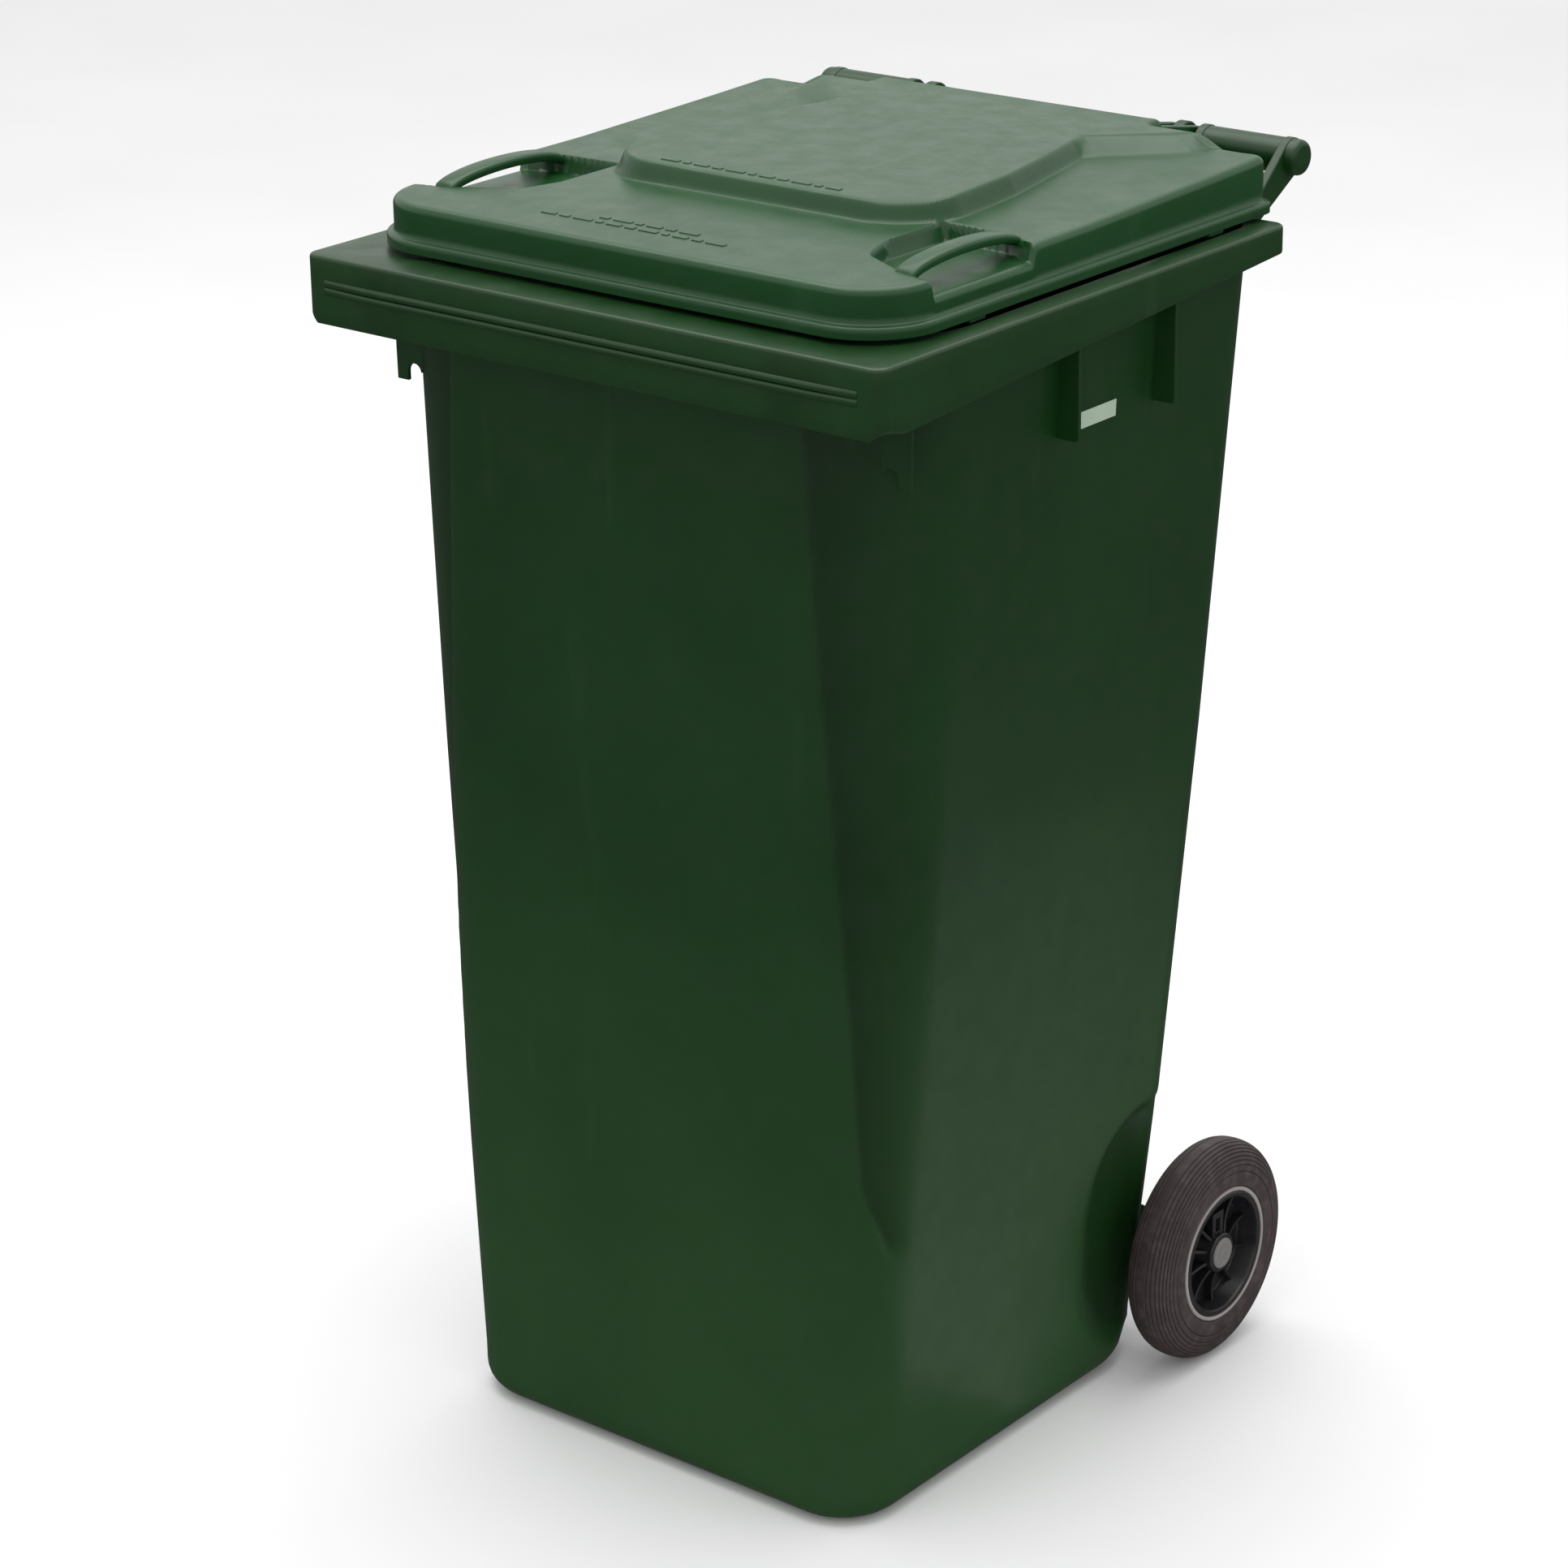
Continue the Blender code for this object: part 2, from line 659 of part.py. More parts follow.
def make_body(finish):
    body = make_object("bin_body", outer_body())
    hollow = make_object("hollow", cavity())
    for side in (-1, 1):
        combine(body, make_object("tool", recess(side, 0.0)), "DIFFERENCE")
        combine(hollow, make_object("tool", recess(side, BODY_WALL)), "DIFFERENCE")
    additions = [bead()] + [comb_rib(side * x) for x in COMB_RIBS for side in (-1, 1)]
    axle_centre = (0.0, y_at(AXLE_DEPTH), AXLE_HEIGHT)
    hinge_centre = (0.0, y_at(HINGE_DEPTH), HINGE_HEIGHT)
    nest_centre = (0.0, y_at(NEST_DEPTH), 0.0)
    for side in (-1, 1):
        additions += [side_gusset(side, depth) for depth in SIDE_GUSSETS]
        additions.append(corner_gusset(side))
        additions += [bracket(side, *span) for span in (*BRACKETS, LUG)]
        additions.append(handle(side))
        additions += [axle_lug(side, *span) for span in AXLE_LUGS]
        additions.append(rod(*sided(side, *AXLE_COLLAR), AXLE_COLLAR_RADIUS, axle_centre))
    additions.append(rod(NEST_BOTTOM, RIM_TOP - RIM_PLATE / 2, NEST_RADIUS, nest_centre, "Z"))
    join_all(body, additions)
    cuts = [rod(-RIM_HALF_WIDTH, RIM_HALF_WIDTH, AXLE_RADIUS + RUNNING_GAP, axle_centre)]
    cuts.append(rod(NEST_BOTTOM - OVERCUT, RIM_TOP - RIM_PLATE, NEST_BORE, nest_centre, "Z"))
    for side in (-1, 1):
        span = sided(side, LUG[0] - OVERCUT, BORE_END)
        cuts.append(rod(*span, PIN_RADIUS + RUNNING_GAP, hinge_centre))
    join_all(body, cuts, "DIFFERENCE")
    combine(body, hollow, "DIFFERENCE")
    dress(body, finish)


# ---- Lid ---------------------------------------------------------------------------------
def edge_height(drop):
    return lambda x, depth: along(LID_EDGE, depth) - drop


def lid_half(inset):
    return half_outline(
        LID_HALF_WIDTH - inset,
        LID_FRONT + inset,
        LID_REAR - inset,
        max(LID_SMALLEST_CORNER, LID_FRONT_CORNER - inset),
        max(LID_SMALLEST_CORNER, LID_REAR_CORNER - inset),
        LID_STOPS,
    )


def lid_tray(wall):
    """The lid's skirt and flat top, or the room inside it when wall is its thickness."""
    if wall:
        rings = [ring(lid_half(wall), LID_BOTTOM - OVERCUT)]
    else:
        rings = [ring(lid_half(-LID_FLANGE), LID_BOTTOM)]
        rings.append(ring(lid_half(-LID_FLANGE), LID_STEP - LID_STEP_RUN))
        rings.append(ring(lid_half(0.0), LID_STEP))
    rings.append(ring(lid_half(wall), edge_height(LID_EDGE_FILLET)))
    bevel = max(wall, LID_EDGE_BEVEL)
    rings.append(ring(lid_half(bevel), edge_height(bevel)))
    rings.append(ring(lid_half(LID_EDGE_FILLET), edge_height(wall)))
    return loft(rings, "lid_tray")


def dome_half(wall, level):
    """Half outline of the dome's foot (level 0) or top (level 1), drawn in by wall."""
    inset = wall + DOME_DRAFT * level
    corner = DOME_CORNER - inset
    points = half_outline(DOME_HALF_WIDTH - inset, DOME_FRONT + inset, LID_REAR, corner, corner)
    points = points[: CORNER_STEPS + 1]
    for stop in DOME_SIDE:
        x, depth = stop[level]
        points.append((x - CORNER_GROWTH * wall, min(depth, DOME_SIDE[-1][level][1] - wall)))
    return points


def lid_dome(wall):
    """Raised panel of the lid, with sloping sides that spread outwards at the rear."""
    rings = [ring(dome_half(wall, 0), DOME_FOOT - wall)]
    rings.append(ring(dome_half(wall, 1), lambda x, depth: along(DOME_TOP, depth) - wall))
    return loft(rings, "lid_dome")


def lid_neck(wall):
    """Part of the lid that reaches back between the handles."""
    rear = NECK_REAR - wall
    half_width = NECK_HALF_WIDTH - wall
    bottom = LID_BOTTOM - OVERCUT if wall else NECK_BOTTOM
    outline = (
        (NECK_FRONT, bottom),
        (rear, bottom),
        (rear, along(DOME_TOP, rear) - wall - NECK_BEVEL),
        (rear - NECK_BEVEL, along(DOME_TOP, rear - NECK_BEVEL) - wall),
        (NECK_FRONT, along(DOME_TOP, NECK_FRONT) - wall - NECK_SINK),
    )
    return slab_x(outline, -half_width, half_width)


def grip_pocket(side, wall):
    """Finger pocket that opens through the lid's top and side."""
    corners = [Vector(point) for point in GRIP_OUTLINE]
    middle = sum(corners, Vector((0.0, 0.0))) / len(corners)
    outline = []
    for corner in corners:
        away = corner - middle
        grown = corner + away.normalized() * CORNER_GROWTH * wall
        outline.append((side * grown.x, grown.y))
    if side < 0:
        outline.reverse()
    return prism_z(outline, GRIP_FLOOR - wall, DOME_TOP[-1][1] + OVERCUT)


def grip_bar(side):
    """Arched bar over the pocket."""
    bm = bmesh.new()
    rows = []
    steps = 8
    for step in range(steps + 1):
        share = step / steps
        depth = GRIP_BAR_FRONT + (GRIP_BAR_REAR - GRIP_BAR_FRONT) * share
        top = GRIP_BAR_END + (GRIP_BAR_TOP - GRIP_BAR_END) * math.sin(math.pi * share) ** 0.5
        rows.append(
            [
                bm.verts.new((side * x, y_at(depth), height))
                for x, height in (
                    (GRIP_BAR[0], top - GRIP_BAR_WALL),
                    (GRIP_BAR[1], top - GRIP_BAR_WALL),
                    (GRIP_BAR[1], top - GRIP_BAR_BEVEL),
                    (GRIP_BAR[1] - GRIP_BAR_BEVEL, top),
                    (GRIP_BAR[0] + GRIP_BAR_BEVEL, top),
                    (GRIP_BAR[0], top - GRIP_BAR_BEVEL),
                )
            ]
        )
    for near, far in zip(rows, rows[1:]):
        for i in range(6):
            j = (i + 1) % 6
            bm.faces.new((near[i], near[j], far[j], far[i]))
    bm.faces.new(rows[0])
    bm.faces.new(reversed(rows[-1]))
    return finish_mesh(bm, "grip_bar")


def ear(side, low, high):
    """Hinge eye that hangs from the lid's neck."""
    outline = teardrop(EAR_TOP, EAR_FOOT, (HINGE_DEPTH, HINGE_HEIGHT), EAR_RADIUS)
    return slab_x(outline, *sided(side, low, high))


def rest_pads():
    """Small feet that keep the closed lid's flange just off the rim."""
    pads = []
    for side in (-1, 1):
        for depth in PAD_DEPTHS:
            x = side * (LID_HALF_WIDTH + PAD_OFFSET)
            y = y_at(depth)
            low = (x - PAD_SIZE[1] / 2, y - PAD_SIZE[0] / 2, LID_BOTTOM - PAD_SIZE[2])
            high = (x + PAD_SIZE[1] / 2, y + PAD_SIZE[0] / 2, LID_BOTTOM + PAD_OVERLAP)
            pads.append(box(low, high))
    return pads


def make_lid(finish):
    lid = make_object("lid", lid_tray(0.0))
    hollow = make_object("hollow", lid_tray(LID_WALL))
    join_all(lid, [lid_dome(0.0), lid_neck(0.0)])
    join_all(hollow, [lid_dome(LID_WALL), lid_neck(LID_WALL)])
    for side in (-1, 1):
        combine(lid, make_object("tool", grip_pocket(side, 0.0)), "DIFFERENCE")
        combine(hollow, make_object("tool", grip_pocket(side, LID_WALL)), "DIFFERENCE")
    combine(lid, hollow, "DIFFERENCE")
    join_all(lid, [ear(side, *span) for side in (-1, 1) for span in EARS])
    join_all(lid, [grip_bar(side) for side in (-1, 1)])
    join_all(lid, rest_pads())
    hinge_centre = (0.0, y_at(HINGE_DEPTH), HINGE_HEIGHT)
    bore = rod(-BORE_END, BORE_END, PIN_RADIUS + RUNNING_GAP, hinge_centre)
    join_all(lid, [bore], "DIFFERENCE")
    dress(lid, finish)
    move_origin(lid, hinge_centre)


# ---- Hinge pins --------------------------------------------------------------------------
def make_hinge_pins(finish):
    """Headed pins pushed outwards through the lid's eyes into the handles' bores."""
    mesh = turned(
        (
            (PIN_HEAD[0], 0.0),
            (PIN_HEAD[0], PIN_HEAD_RADIUS - PIN_CHAMFER),
            (PIN_HEAD[0] + PIN_CHAMFER, PIN_HEAD_RADIUS),
            (PIN_HEAD[1], PIN_HEAD_RADIUS),
            (PIN_HEAD[1], PIN_RADIUS),
            (PIN_END - PIN_CHAMFER, PIN_RADIUS),
            (PIN_END, PIN_RADIUS - PIN_CHAMFER),
            (PIN_END, 0.0),
        )
    )
    smooth(mesh)
    for name, turn in (("left", math.pi), ("right", 0.0)):
        place = (0.0, y_at(HINGE_DEPTH), HINGE_HEIGHT)
        make_object("hinge_pin_" + name, mesh, finish, place, turn)


# ---- Axle and wheels ---------------------------------------------------------------------
def make_axle(finish):
    """Steel rod with a groove near each end, where the wheel's latch pin drops in."""
    groove = WHEEL_CENTRE + LATCH_X
    half = []
    for place, radius in (
        (groove - GROOVE_HALF_WIDTH, AXLE_RADIUS),
        (groove - GROOVE_HALF_WIDTH, GROOVE_RADIUS),
        (groove + GROOVE_HALF_WIDTH, GROOVE_RADIUS),
        (groove + GROOVE_HALF_WIDTH, AXLE_RADIUS - AXLE_END_TAPER[0]),
        (AXLE_END, AXLE_RADIUS - AXLE_END_TAPER[1]),
        (AXLE_END, 0.0),
    ):
        half.append((place, radius))
    mesh = turned([(-place, radius) for place, radius in reversed(half)] + half)
    smooth(mesh)
    make_object("axle", mesh, finish, (0.0, y_at(AXLE_DEPTH), AXLE_HEIGHT))


def wheel_object(name, mesh, finish):
    """A left and a right copy of a wheel piece, with their origins on the axle."""
    smooth(mesh)
    for label, side, turn in (("left", -1, math.pi), ("right", 1, 0.0)):
        place = (side * WHEEL_CENTRE, y_at(AXLE_DEPTH), AXLE_HEIGHT)
        make_object(name + "_" + label, mesh, finish, place, turn)


def tyre_mesh():
    """Solid rubber tyre with a crowned tread, seated between the hub's two lips."""
    edge = WHEEL_HALF_WIDTH
    side = [(edge - inside, RING_RADIUS + above) for inside, above in TYRE_BEAD]
    side += [(edge - inside, WHEEL_RADIUS - below) for inside, below in TYRE_FLANK]
    profile = side + [(-place, radius) for place, radius in reversed(side)]
    return turned(profile, steps=48, closed=True)


def hub_blank():
    """Barrel, web and boss of the wheel's plastic centre, in one turned ring."""
    edge, lip = WHEEL_HALF_WIDTH, RING_RADIUS + LIP_HEIGHT
    seat = WHEEL_HALF_WIDTH - SEAT_DEPTH
    barrel_inner = RING_RADIUS - BARREL_WALL
    chamfer = HUB_CHAMFER
    profile = (
        (HUB_OUTER_END, CAP_RADIUS + RUNNING_GAP),
        (HUB_OUTER_END, HUB_BOSS_RADIUS),
        (WEB[1], HUB_BOSS_RADIUS + chamfer),
        (WEB[1], barrel_inner - 2 * chamfer),
        (edge - chamfer, barrel_inner),
        (edge, barrel_inner + chamfer),
        (edge, lip - chamfer),
        (edge - chamfer, lip),
        (seat, lip),
        (seat, RING_RADIUS),
        (-seat, RING_RADIUS),
        (-seat, lip),
        (-edge, lip - chamfer),
        (-edge, barrel_inner),
        (WEB[0], barrel_inner - 2 * chamfer),
        (WEB[0], HUB_BOSS_RADIUS + chamfer),
        (HUB_INNER_END, HUB_BOSS_RADIUS - 2 * chamfer),
        (HUB_INNER_END, AXLE_RADIUS + RUNNING_GAP),
        (CAP_SEAT, AXLE_RADIUS + RUNNING_GAP),
        (CAP_SEAT, CAP_RADIUS + RUNNING_GAP),
    )
    return turned(profile, steps=40, closed=True)


def hub_rib(turn):
    """Radial rib on the outer side of the web, lower towards the barrel."""
    (_, low), (_, high) = HUB_RIB_EDGE
    bm = bmesh.new()
    sides = []
    for y in (-HUB_RIB_HALF_WALL, HUB_RIB_HALF_WALL):
        points = ((HUB_RIB_SINK, low), *HUB_RIB_EDGE, (HUB_RIB_SINK, high))
        sides.append([bm.verts.new((x, y, z)) for x, z in points])
    bm.faces.new(sides[0])
    bm.faces.new(reversed(sides[1]))
    for i in range(4):
        j = (i + 1) % 4
        bm.faces.new((sides[0][i], sides[0][j], sides[1][j], sides[1][i]))
    mesh = finish_mesh(bm, "rib")
    mesh.transform(Matrix.Rotation(turn, 4, "X"))
    return mesh


def hub_mesh():
    hub = make_object("hub", hub_blank())
    parts = [hub_rib(2 * math.pi * k / HUB_RIBS) for k in range(1, HUB_RIBS)]
    half_x, half_y, top = TOWER
    low = (LATCH_X - half_x, -half_y, HUB_RIB_EDGE[0][1])
    parts.append(box(low, (LATCH_X + half_x, half_y, top)))
    join_all(hub, parts)
    centre = (LATCH_X, 0.0, 0.0)
    low = (LATCH_X, -WINDOW_HALF_WIDTH, WINDOW[0])
    high = (WHEEL_HALF_WIDTH, WINDOW_HALF_WIDTH, WINDOW[1])
    cuts = [rod(*CHAMBER, CHAMBER_RADIUS, centre, "Z"), box(low, high)]
    bore_end = CHAMBER[0] + RUNNING_GAP
    cuts.append(rod(GROOVE_RADIUS, bore_end, LATCH_RADIUS + RUNNING_GAP, centre, "Z", 16))
    join_all(hub, cuts, "DIFFERENCE")
    mesh = hub.data
    bpy.data.objects.remove(hub)
    return mesh


def latch_mesh():
    """Latch pin: its tip drops into the axle's groove and its collar carries the spring."""
    profile = (
        (LATCH_TIP, 0.0),
        (LATCH_TIP, LATCH_RADIUS - LATCH_CHAMFER),
        (LATCH_TIP + LATCH_CHAMFER, LATCH_RADIUS),
        (COLLAR_LOW, LATCH_RADIUS),
        (COLLAR_LOW, COLLAR_RADIUS),
        (COLLAR_HIGH, COLLAR_RADIUS),
        (COLLAR_HIGH, STEM_RADIUS),
        (STEM_TOP, STEM_RADIUS),
        (STEM_TOP, 0.0),
    )
    return turned(profile, (LATCH_X, 0.0, 0.0), "Z", 16)


def spring_mesh():
    """Compression spring between the latch pin's collar and the end of its chamber."""
    low = COLLAR_HIGH + RUNNING_GAP + SPRING_WIRE
    high = CHAMBER[1] - RUNNING_GAP - SPRING_WIRE
    around, sides = 12, 6
    bm = bmesh.new()
    rows = []
    for step in range(SPRING_TURNS * around + 1):
        share = step / (SPRING_TURNS * around)
        turn = 2 * math.pi * SPRING_TURNS * share
        row = []
        for k in range(sides):
            tilt = 2 * math.pi * k / sides
            radius = SPRING_RADIUS + SPRING_WIRE * math.cos(tilt)
            height = low + (high - low) * share + SPRING_WIRE * math.sin(tilt)
            row.append(bm.verts.new((LATCH_X + radius * math.cos(turn), radius * math.sin(turn), height)))
        rows.append(row)
    for near, far in zip(rows, rows[1:]):
        for i in range(sides):
            j = (i + 1) % sides
            bm.faces.new((near[i], near[j], far[j], far[i]))
    bm.faces.new(rows[0])
    bm.faces.new(reversed(rows[-1]))
    return finish_mesh(bm, "spring")


def cap_mesh():
    """Push-in disc that closes the outer end of the hub's bore."""
    back = CAP_SEAT + CAP_CLEARANCE
    profile = [(back, 0.0), (back, CAP_RADIUS - CAP_CHAMFER), (back + CAP_CHAMFER, CAP_RADIUS)]
    profile += [(HUB_OUTER_END + rise, CAP_RADIUS - inward) for rise, inward in CAP_CROWN]
    profile.append((profile[-1][0], 0.0))
    return turned(profile)


def make_washers(finish):
    """Washer between the body's axle collar and the hub's boss."""
    low, high = WASHER
    profile = (
        (low, AXLE_RADIUS + RUNNING_GAP),
        (high, AXLE_RADIUS + RUNNING_GAP),
        (high, WASHER_RADIUS),
        (low, WASHER_RADIUS),
    )
    mesh = turned(profile, closed=True)
    smooth(mesh)
    for name, turn in (("left", math.pi), ("right", 0.0)):
        place = (0.0, y_at(AXLE_DEPTH), AXLE_HEIGHT)
        make_object("axle_washer_" + name, mesh, finish, place, turn)


# ---- Small fittings ----------------------------------------------------------------------
def make_transponder(chip_finish, plug_finish):
    """Identification chip in its nest under the rim, and the plug that keeps it there."""
    place = (0.0, y_at(NEST_DEPTH), 0.0)
    chip = rod(*CHIP, CHIP_RADIUS, axis="Z")
    smooth(chip)
    make_object("transponder", chip, chip_finish, place)
    low, high = PLUG
    profile = (
        (low, 0.0),
        (low, CHIP_RADIUS - PLUG_CHAMFER),
        (low + PLUG_CHAMFER, CHIP_RADIUS),
        (high, CHIP_RADIUS),
        (high, CHIP_RADIUS - PLUG_WALL),
        (low + PLUG_FLOOR, CHIP_RADIUS - PLUG_WALL),
        (low + PLUG_FLOOR, 0.0),
    )
    plug = turned(profile, axis="Z")
    smooth(plug)
    make_object("transponder_plug", plug, plug_finish, place)


def make_marking_plate(finish):
    """Small blank plate on the right side wall, leaning with the wall."""
    half = [value / 2 for value in PLATE_SIZE]
    mesh = box([-value for value in half], half)
    wall = body_at(PLATE_HEIGHT, 1)
    (low, low_x, *_), (high, high_x, *_) = BODY_SECTIONS[-2:]
    lean = math.atan2(high_x - low_x, high - low)
    place = (wall + half[0] + RUNNING_GAP, y_at(PLATE_DEPTH), PLATE_HEIGHT)
    plate = make_object("marking_plate", mesh, finish, place)
    plate.rotation_euler.y = lean


def main():
    for old in list(bpy.data.objects):
        bpy.data.objects.remove(old)
    green = material("green_polyethylene", (0.016, 0.062, 0.024), 0.42)
    lid_green = material("lid_polyethylene", (0.018, 0.068, 0.027), 0.38)
    black = material("black_polyamide", (0.012, 0.012, 0.013), 0.45)
    steel = material("zinc_steel", (0.55, 0.56, 0.58), 0.35, 1.0)
    rubber = material("tyre_rubber", (0.060, 0.046, 0.048), 0.75)
    hub_black = material("hub_polypropylene", (0.014, 0.013, 0.015), 0.35)
    grey = material("cap_polypropylene", (0.30, 0.29, 0.29), 0.45)
    spring_steel = material("spring_steel", (0.42, 0.42, 0.44), 0.3, 1.0)
    pale = material("plate_polyester", (0.40, 0.50, 0.41), 0.5)
    make_body(green)
    make_lid(lid_green)
    make_hinge_pins(black)
    make_axle(steel)
    wheel_object("tyre", tyre_mesh(), rubber)
    wheel_object("wheel_hub", hub_mesh(), hub_black)
    wheel_object("hub_cap", cap_mesh(), grey)
    wheel_object("latch_pin", latch_mesh(), steel)
    wheel_object("latch_spring", spring_mesh(), spring_steel)
    make_washers(black)
    make_transponder(black, lid_green)
    make_marking_plate(pale)


main()
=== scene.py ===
import math

import bmesh
import bpy
import numpy as np
from mathutils import Matrix, Quaternion, Vector


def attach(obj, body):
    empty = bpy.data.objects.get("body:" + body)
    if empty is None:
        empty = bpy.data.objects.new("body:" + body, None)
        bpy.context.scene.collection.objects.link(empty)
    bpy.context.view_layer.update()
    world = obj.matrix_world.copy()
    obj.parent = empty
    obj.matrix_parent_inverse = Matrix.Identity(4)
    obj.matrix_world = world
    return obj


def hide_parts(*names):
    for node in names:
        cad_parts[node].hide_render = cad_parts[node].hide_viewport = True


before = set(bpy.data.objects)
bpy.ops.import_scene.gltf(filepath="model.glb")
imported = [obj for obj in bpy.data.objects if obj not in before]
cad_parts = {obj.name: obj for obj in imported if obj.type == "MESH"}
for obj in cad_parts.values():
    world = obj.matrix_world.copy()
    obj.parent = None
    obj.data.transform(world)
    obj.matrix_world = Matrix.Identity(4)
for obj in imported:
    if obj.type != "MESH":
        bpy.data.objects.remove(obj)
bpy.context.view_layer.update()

# ---- Dimensions, in metres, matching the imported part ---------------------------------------
# A "depth" runs back from the rim's front edge, and y_at() turns it into Y.
ORIGIN_DEPTH = 0.3175
RIM_HALF_WIDTH = 0.290
RIM_LENGTH = 0.539
RIM_TOP = 1.018
RIM_PLATE = 0.005
RIM_CORNER = 0.012
BAND_WALL = 0.0045
BAND_FRONT_BOTTOM = 0.962
BAND_REAR_BOTTOM = 0.995
BODY_WALL = 0.004
BODY_FLOOR = 0.006
BASE_FILLET = 0.025
BASE_REAR_CUT = 0.036
# Height, half width, front and rear depth, front and rear corner radius of the outer skin.
BODY_SECTIONS = (
    (0.040, 0.2200, 0.0490, 0.4745, 0.060, 0.045),
    (0.237, 0.2325, 0.0470, 0.4865, 0.070, 0.040),
    (0.596, 0.2515, 0.0465, 0.5075, 0.085, 0.035),
    (1.013, 0.2700, 0.0460, 0.5280, 0.100, 0.028),
)
SMALLEST_CORNER = 0.006
RECESS_CENTRE = (0.474, 0.136)
RECESS_REACH = (0.121, 0.122)
RECESS_POWER = 2.6
RECESS_DEPTH = 0.010
# Towards the rear corner the recess runs out: depths where that begins and ends, share left.
RECESS_REAR = (0.430, 0.474)
RECESS_REAR_SHARE = 0.25
# Height and half width of the crease where each front corner's flute begins.
FLUTE_LINE = (
    (0.245, 0.2262),
    (0.316, 0.2125),
    (0.443, 0.2088),
    (0.538, 0.2031),
    (0.673, 0.1941),
    (0.756, 0.1881),
    (0.960, 0.1760),
)
FLUTE_FOOT = 0.243
FLUTE_REAR = 0.118
FLUTE_DEPTH = 0.0042

COMB_RIBS = (0.060, 0.120, 0.180, 0.232)
RIB_WALL = 0.0035
COMB_RIB_FRONT_BOTTOM = 0.974
COMB_RIB_BACK_BOTTOM = 0.950
SIDE_GUSSETS = (0.255, 0.386)
SIDE_GUSSET_BOTTOM = 0.902
SIDE_GUSSET_REACH = 0.2862
CORNER_GUSSET_DEPTH = 0.074
CORNER_GUSSET_REACH = 0.264
CORNER_GUSSET_BOTTOM = 0.903
CORNER_NOTCH_RADIUS = 0.007
CORNER_NOTCH_INSET = 0.014
CORNER_NOTCH_RISE = 0.008
CORNER_GUSSET_WIDTH = 0.031
CORNER_GUSSET_ROOT_RISE = 0.012
TRIM_TOP = RIM_TOP - 0.002
GUSSET_TOP = RIM_TOP - 0.003
TRIM_CHAMFER = 0.002
BEAD_REACH = 0.003
BEAD_HALF_HEIGHT = 0.003
BEAD_ROOT = 0.002
BEADS = (0.9900, 0.9962)
BEAD_HALF_LENGTH = 0.268
BEAD_FADE = 0.225
BEAD_FADED_SHARE = 0.15
FINE_BEVEL = 0.0006
PLATE_BEVEL = 0.0012
CUT_MARGIN = 0.010

HINGE_DEPTH = 0.622
HINGE_HEIGHT = 1.050
HANDLE_RADIUS = 0.015
HANDLE_INNER = 0.152
HANDLE_OUTER = 0.250
HANDLE_ROUND = 0.006
BRACKET_RADIUS = 0.0159
BRACKET_FOOT = 0.985
BRACKET_ROOT = 0.950
BRACKET_SHELF = (0.560, 1.0155)
BRACKETS = ((0.150, 0.158), (0.232, 0.240))
LUG = (0.126, 0.136)
EARS = ((0.116, 0.124), (0.138, 0.146))
EAR_RADIUS = 0.013
PIN_RADIUS = 0.005
RUNNING_GAP = 0.0003

LID_HALF_WIDTH = 0.262
LID_FRONT = 0.042
LID_REAR = 0.550
LID_FLANGE = 0.006
LID_BOTTOM = 1.022
LID_STEP = 1.033
LID_FRONT_CORNER = 0.057
LID_REAR_CORNER = 0.010
LID_EDGE_FILLET = 0.006
LID_WALL = 0.0034
LID_EDGE = ((0.0, 1.0590), (0.300, 1.0605), (0.420, 1.0635), (0.475, 1.0650), (0.550, 1.0675))
DOME_FRONT = 0.204
DOME_HALF_WIDTH = 0.169
DOME_CORNER = 0.059
DOME_DRAFT = 0.009
# Right edge of the dome behind its front corner, as (x, depth) of its foot and of its top.
DOME_SIDE = (
    ((0.163, 0.340), (0.154, 0.340)),
    ((0.151, 0.405), (0.142, 0.405)),
    ((0.141, 0.462), (0.122, 0.484)),
    ((0.213, 0.518), (0.187, 0.545)),
    ((0.213, 0.600), (0.187, 0.600)),
)
DOME_TOP = ((0.0, 1.0745), (0.213, 1.0765), (0.546, 1.0783), (0.570, 1.0790))
NECK_HALF_WIDTH = 0.1465
NECK_REAR = 0.570
NECK_BOTTOM = 1.048
GRIP_FLOOR = 1.0462
GRIP_OUTLINE = (
    (0.165, 0.168),
    (0.178, 0.132),
    (0.233, 0.104),
    (0.320, 0.086),
    (0.320, 0.205),
    (0.228, 0.240),
    (0.165, 0.243),
)
GRIP_BAR = (0.2225, 0.2415)
GRIP_BAR_SPAN = (0.1010, 0.2415)
GRIP_BAR_TOP = 1.0705
GRIP_BAR_END = 1.057
GRIP_BAR_WALL = 0.009
# Raised dashes as (depth, from x, to x), and their lengths in turn.
MARK_ROWS = ((0.0865, -0.110, 0.070), (0.0985, -0.060, 0.030), (0.2260, -0.105, 0.070))
MARK_LENGTHS = (0.014, 0.009, 0.018, 0.006)
MARK_GAP = 0.005
MARK_HALF_WIDTH = 0.0026
MARK_RISE = 0.0007
REST_PADS = (0.150, 0.470)
REST_PAD_HALF = (0.003, 0.010)
REST_PAD_BOTTOM = 1.0184
# Where the hinge ears leave the neck, from its rear edge and from its top or bottom.
EAR_TOP_ROOT = (0.022, 0.0025)
EAR_FOOT_ROOT = (0.016, 0.002)

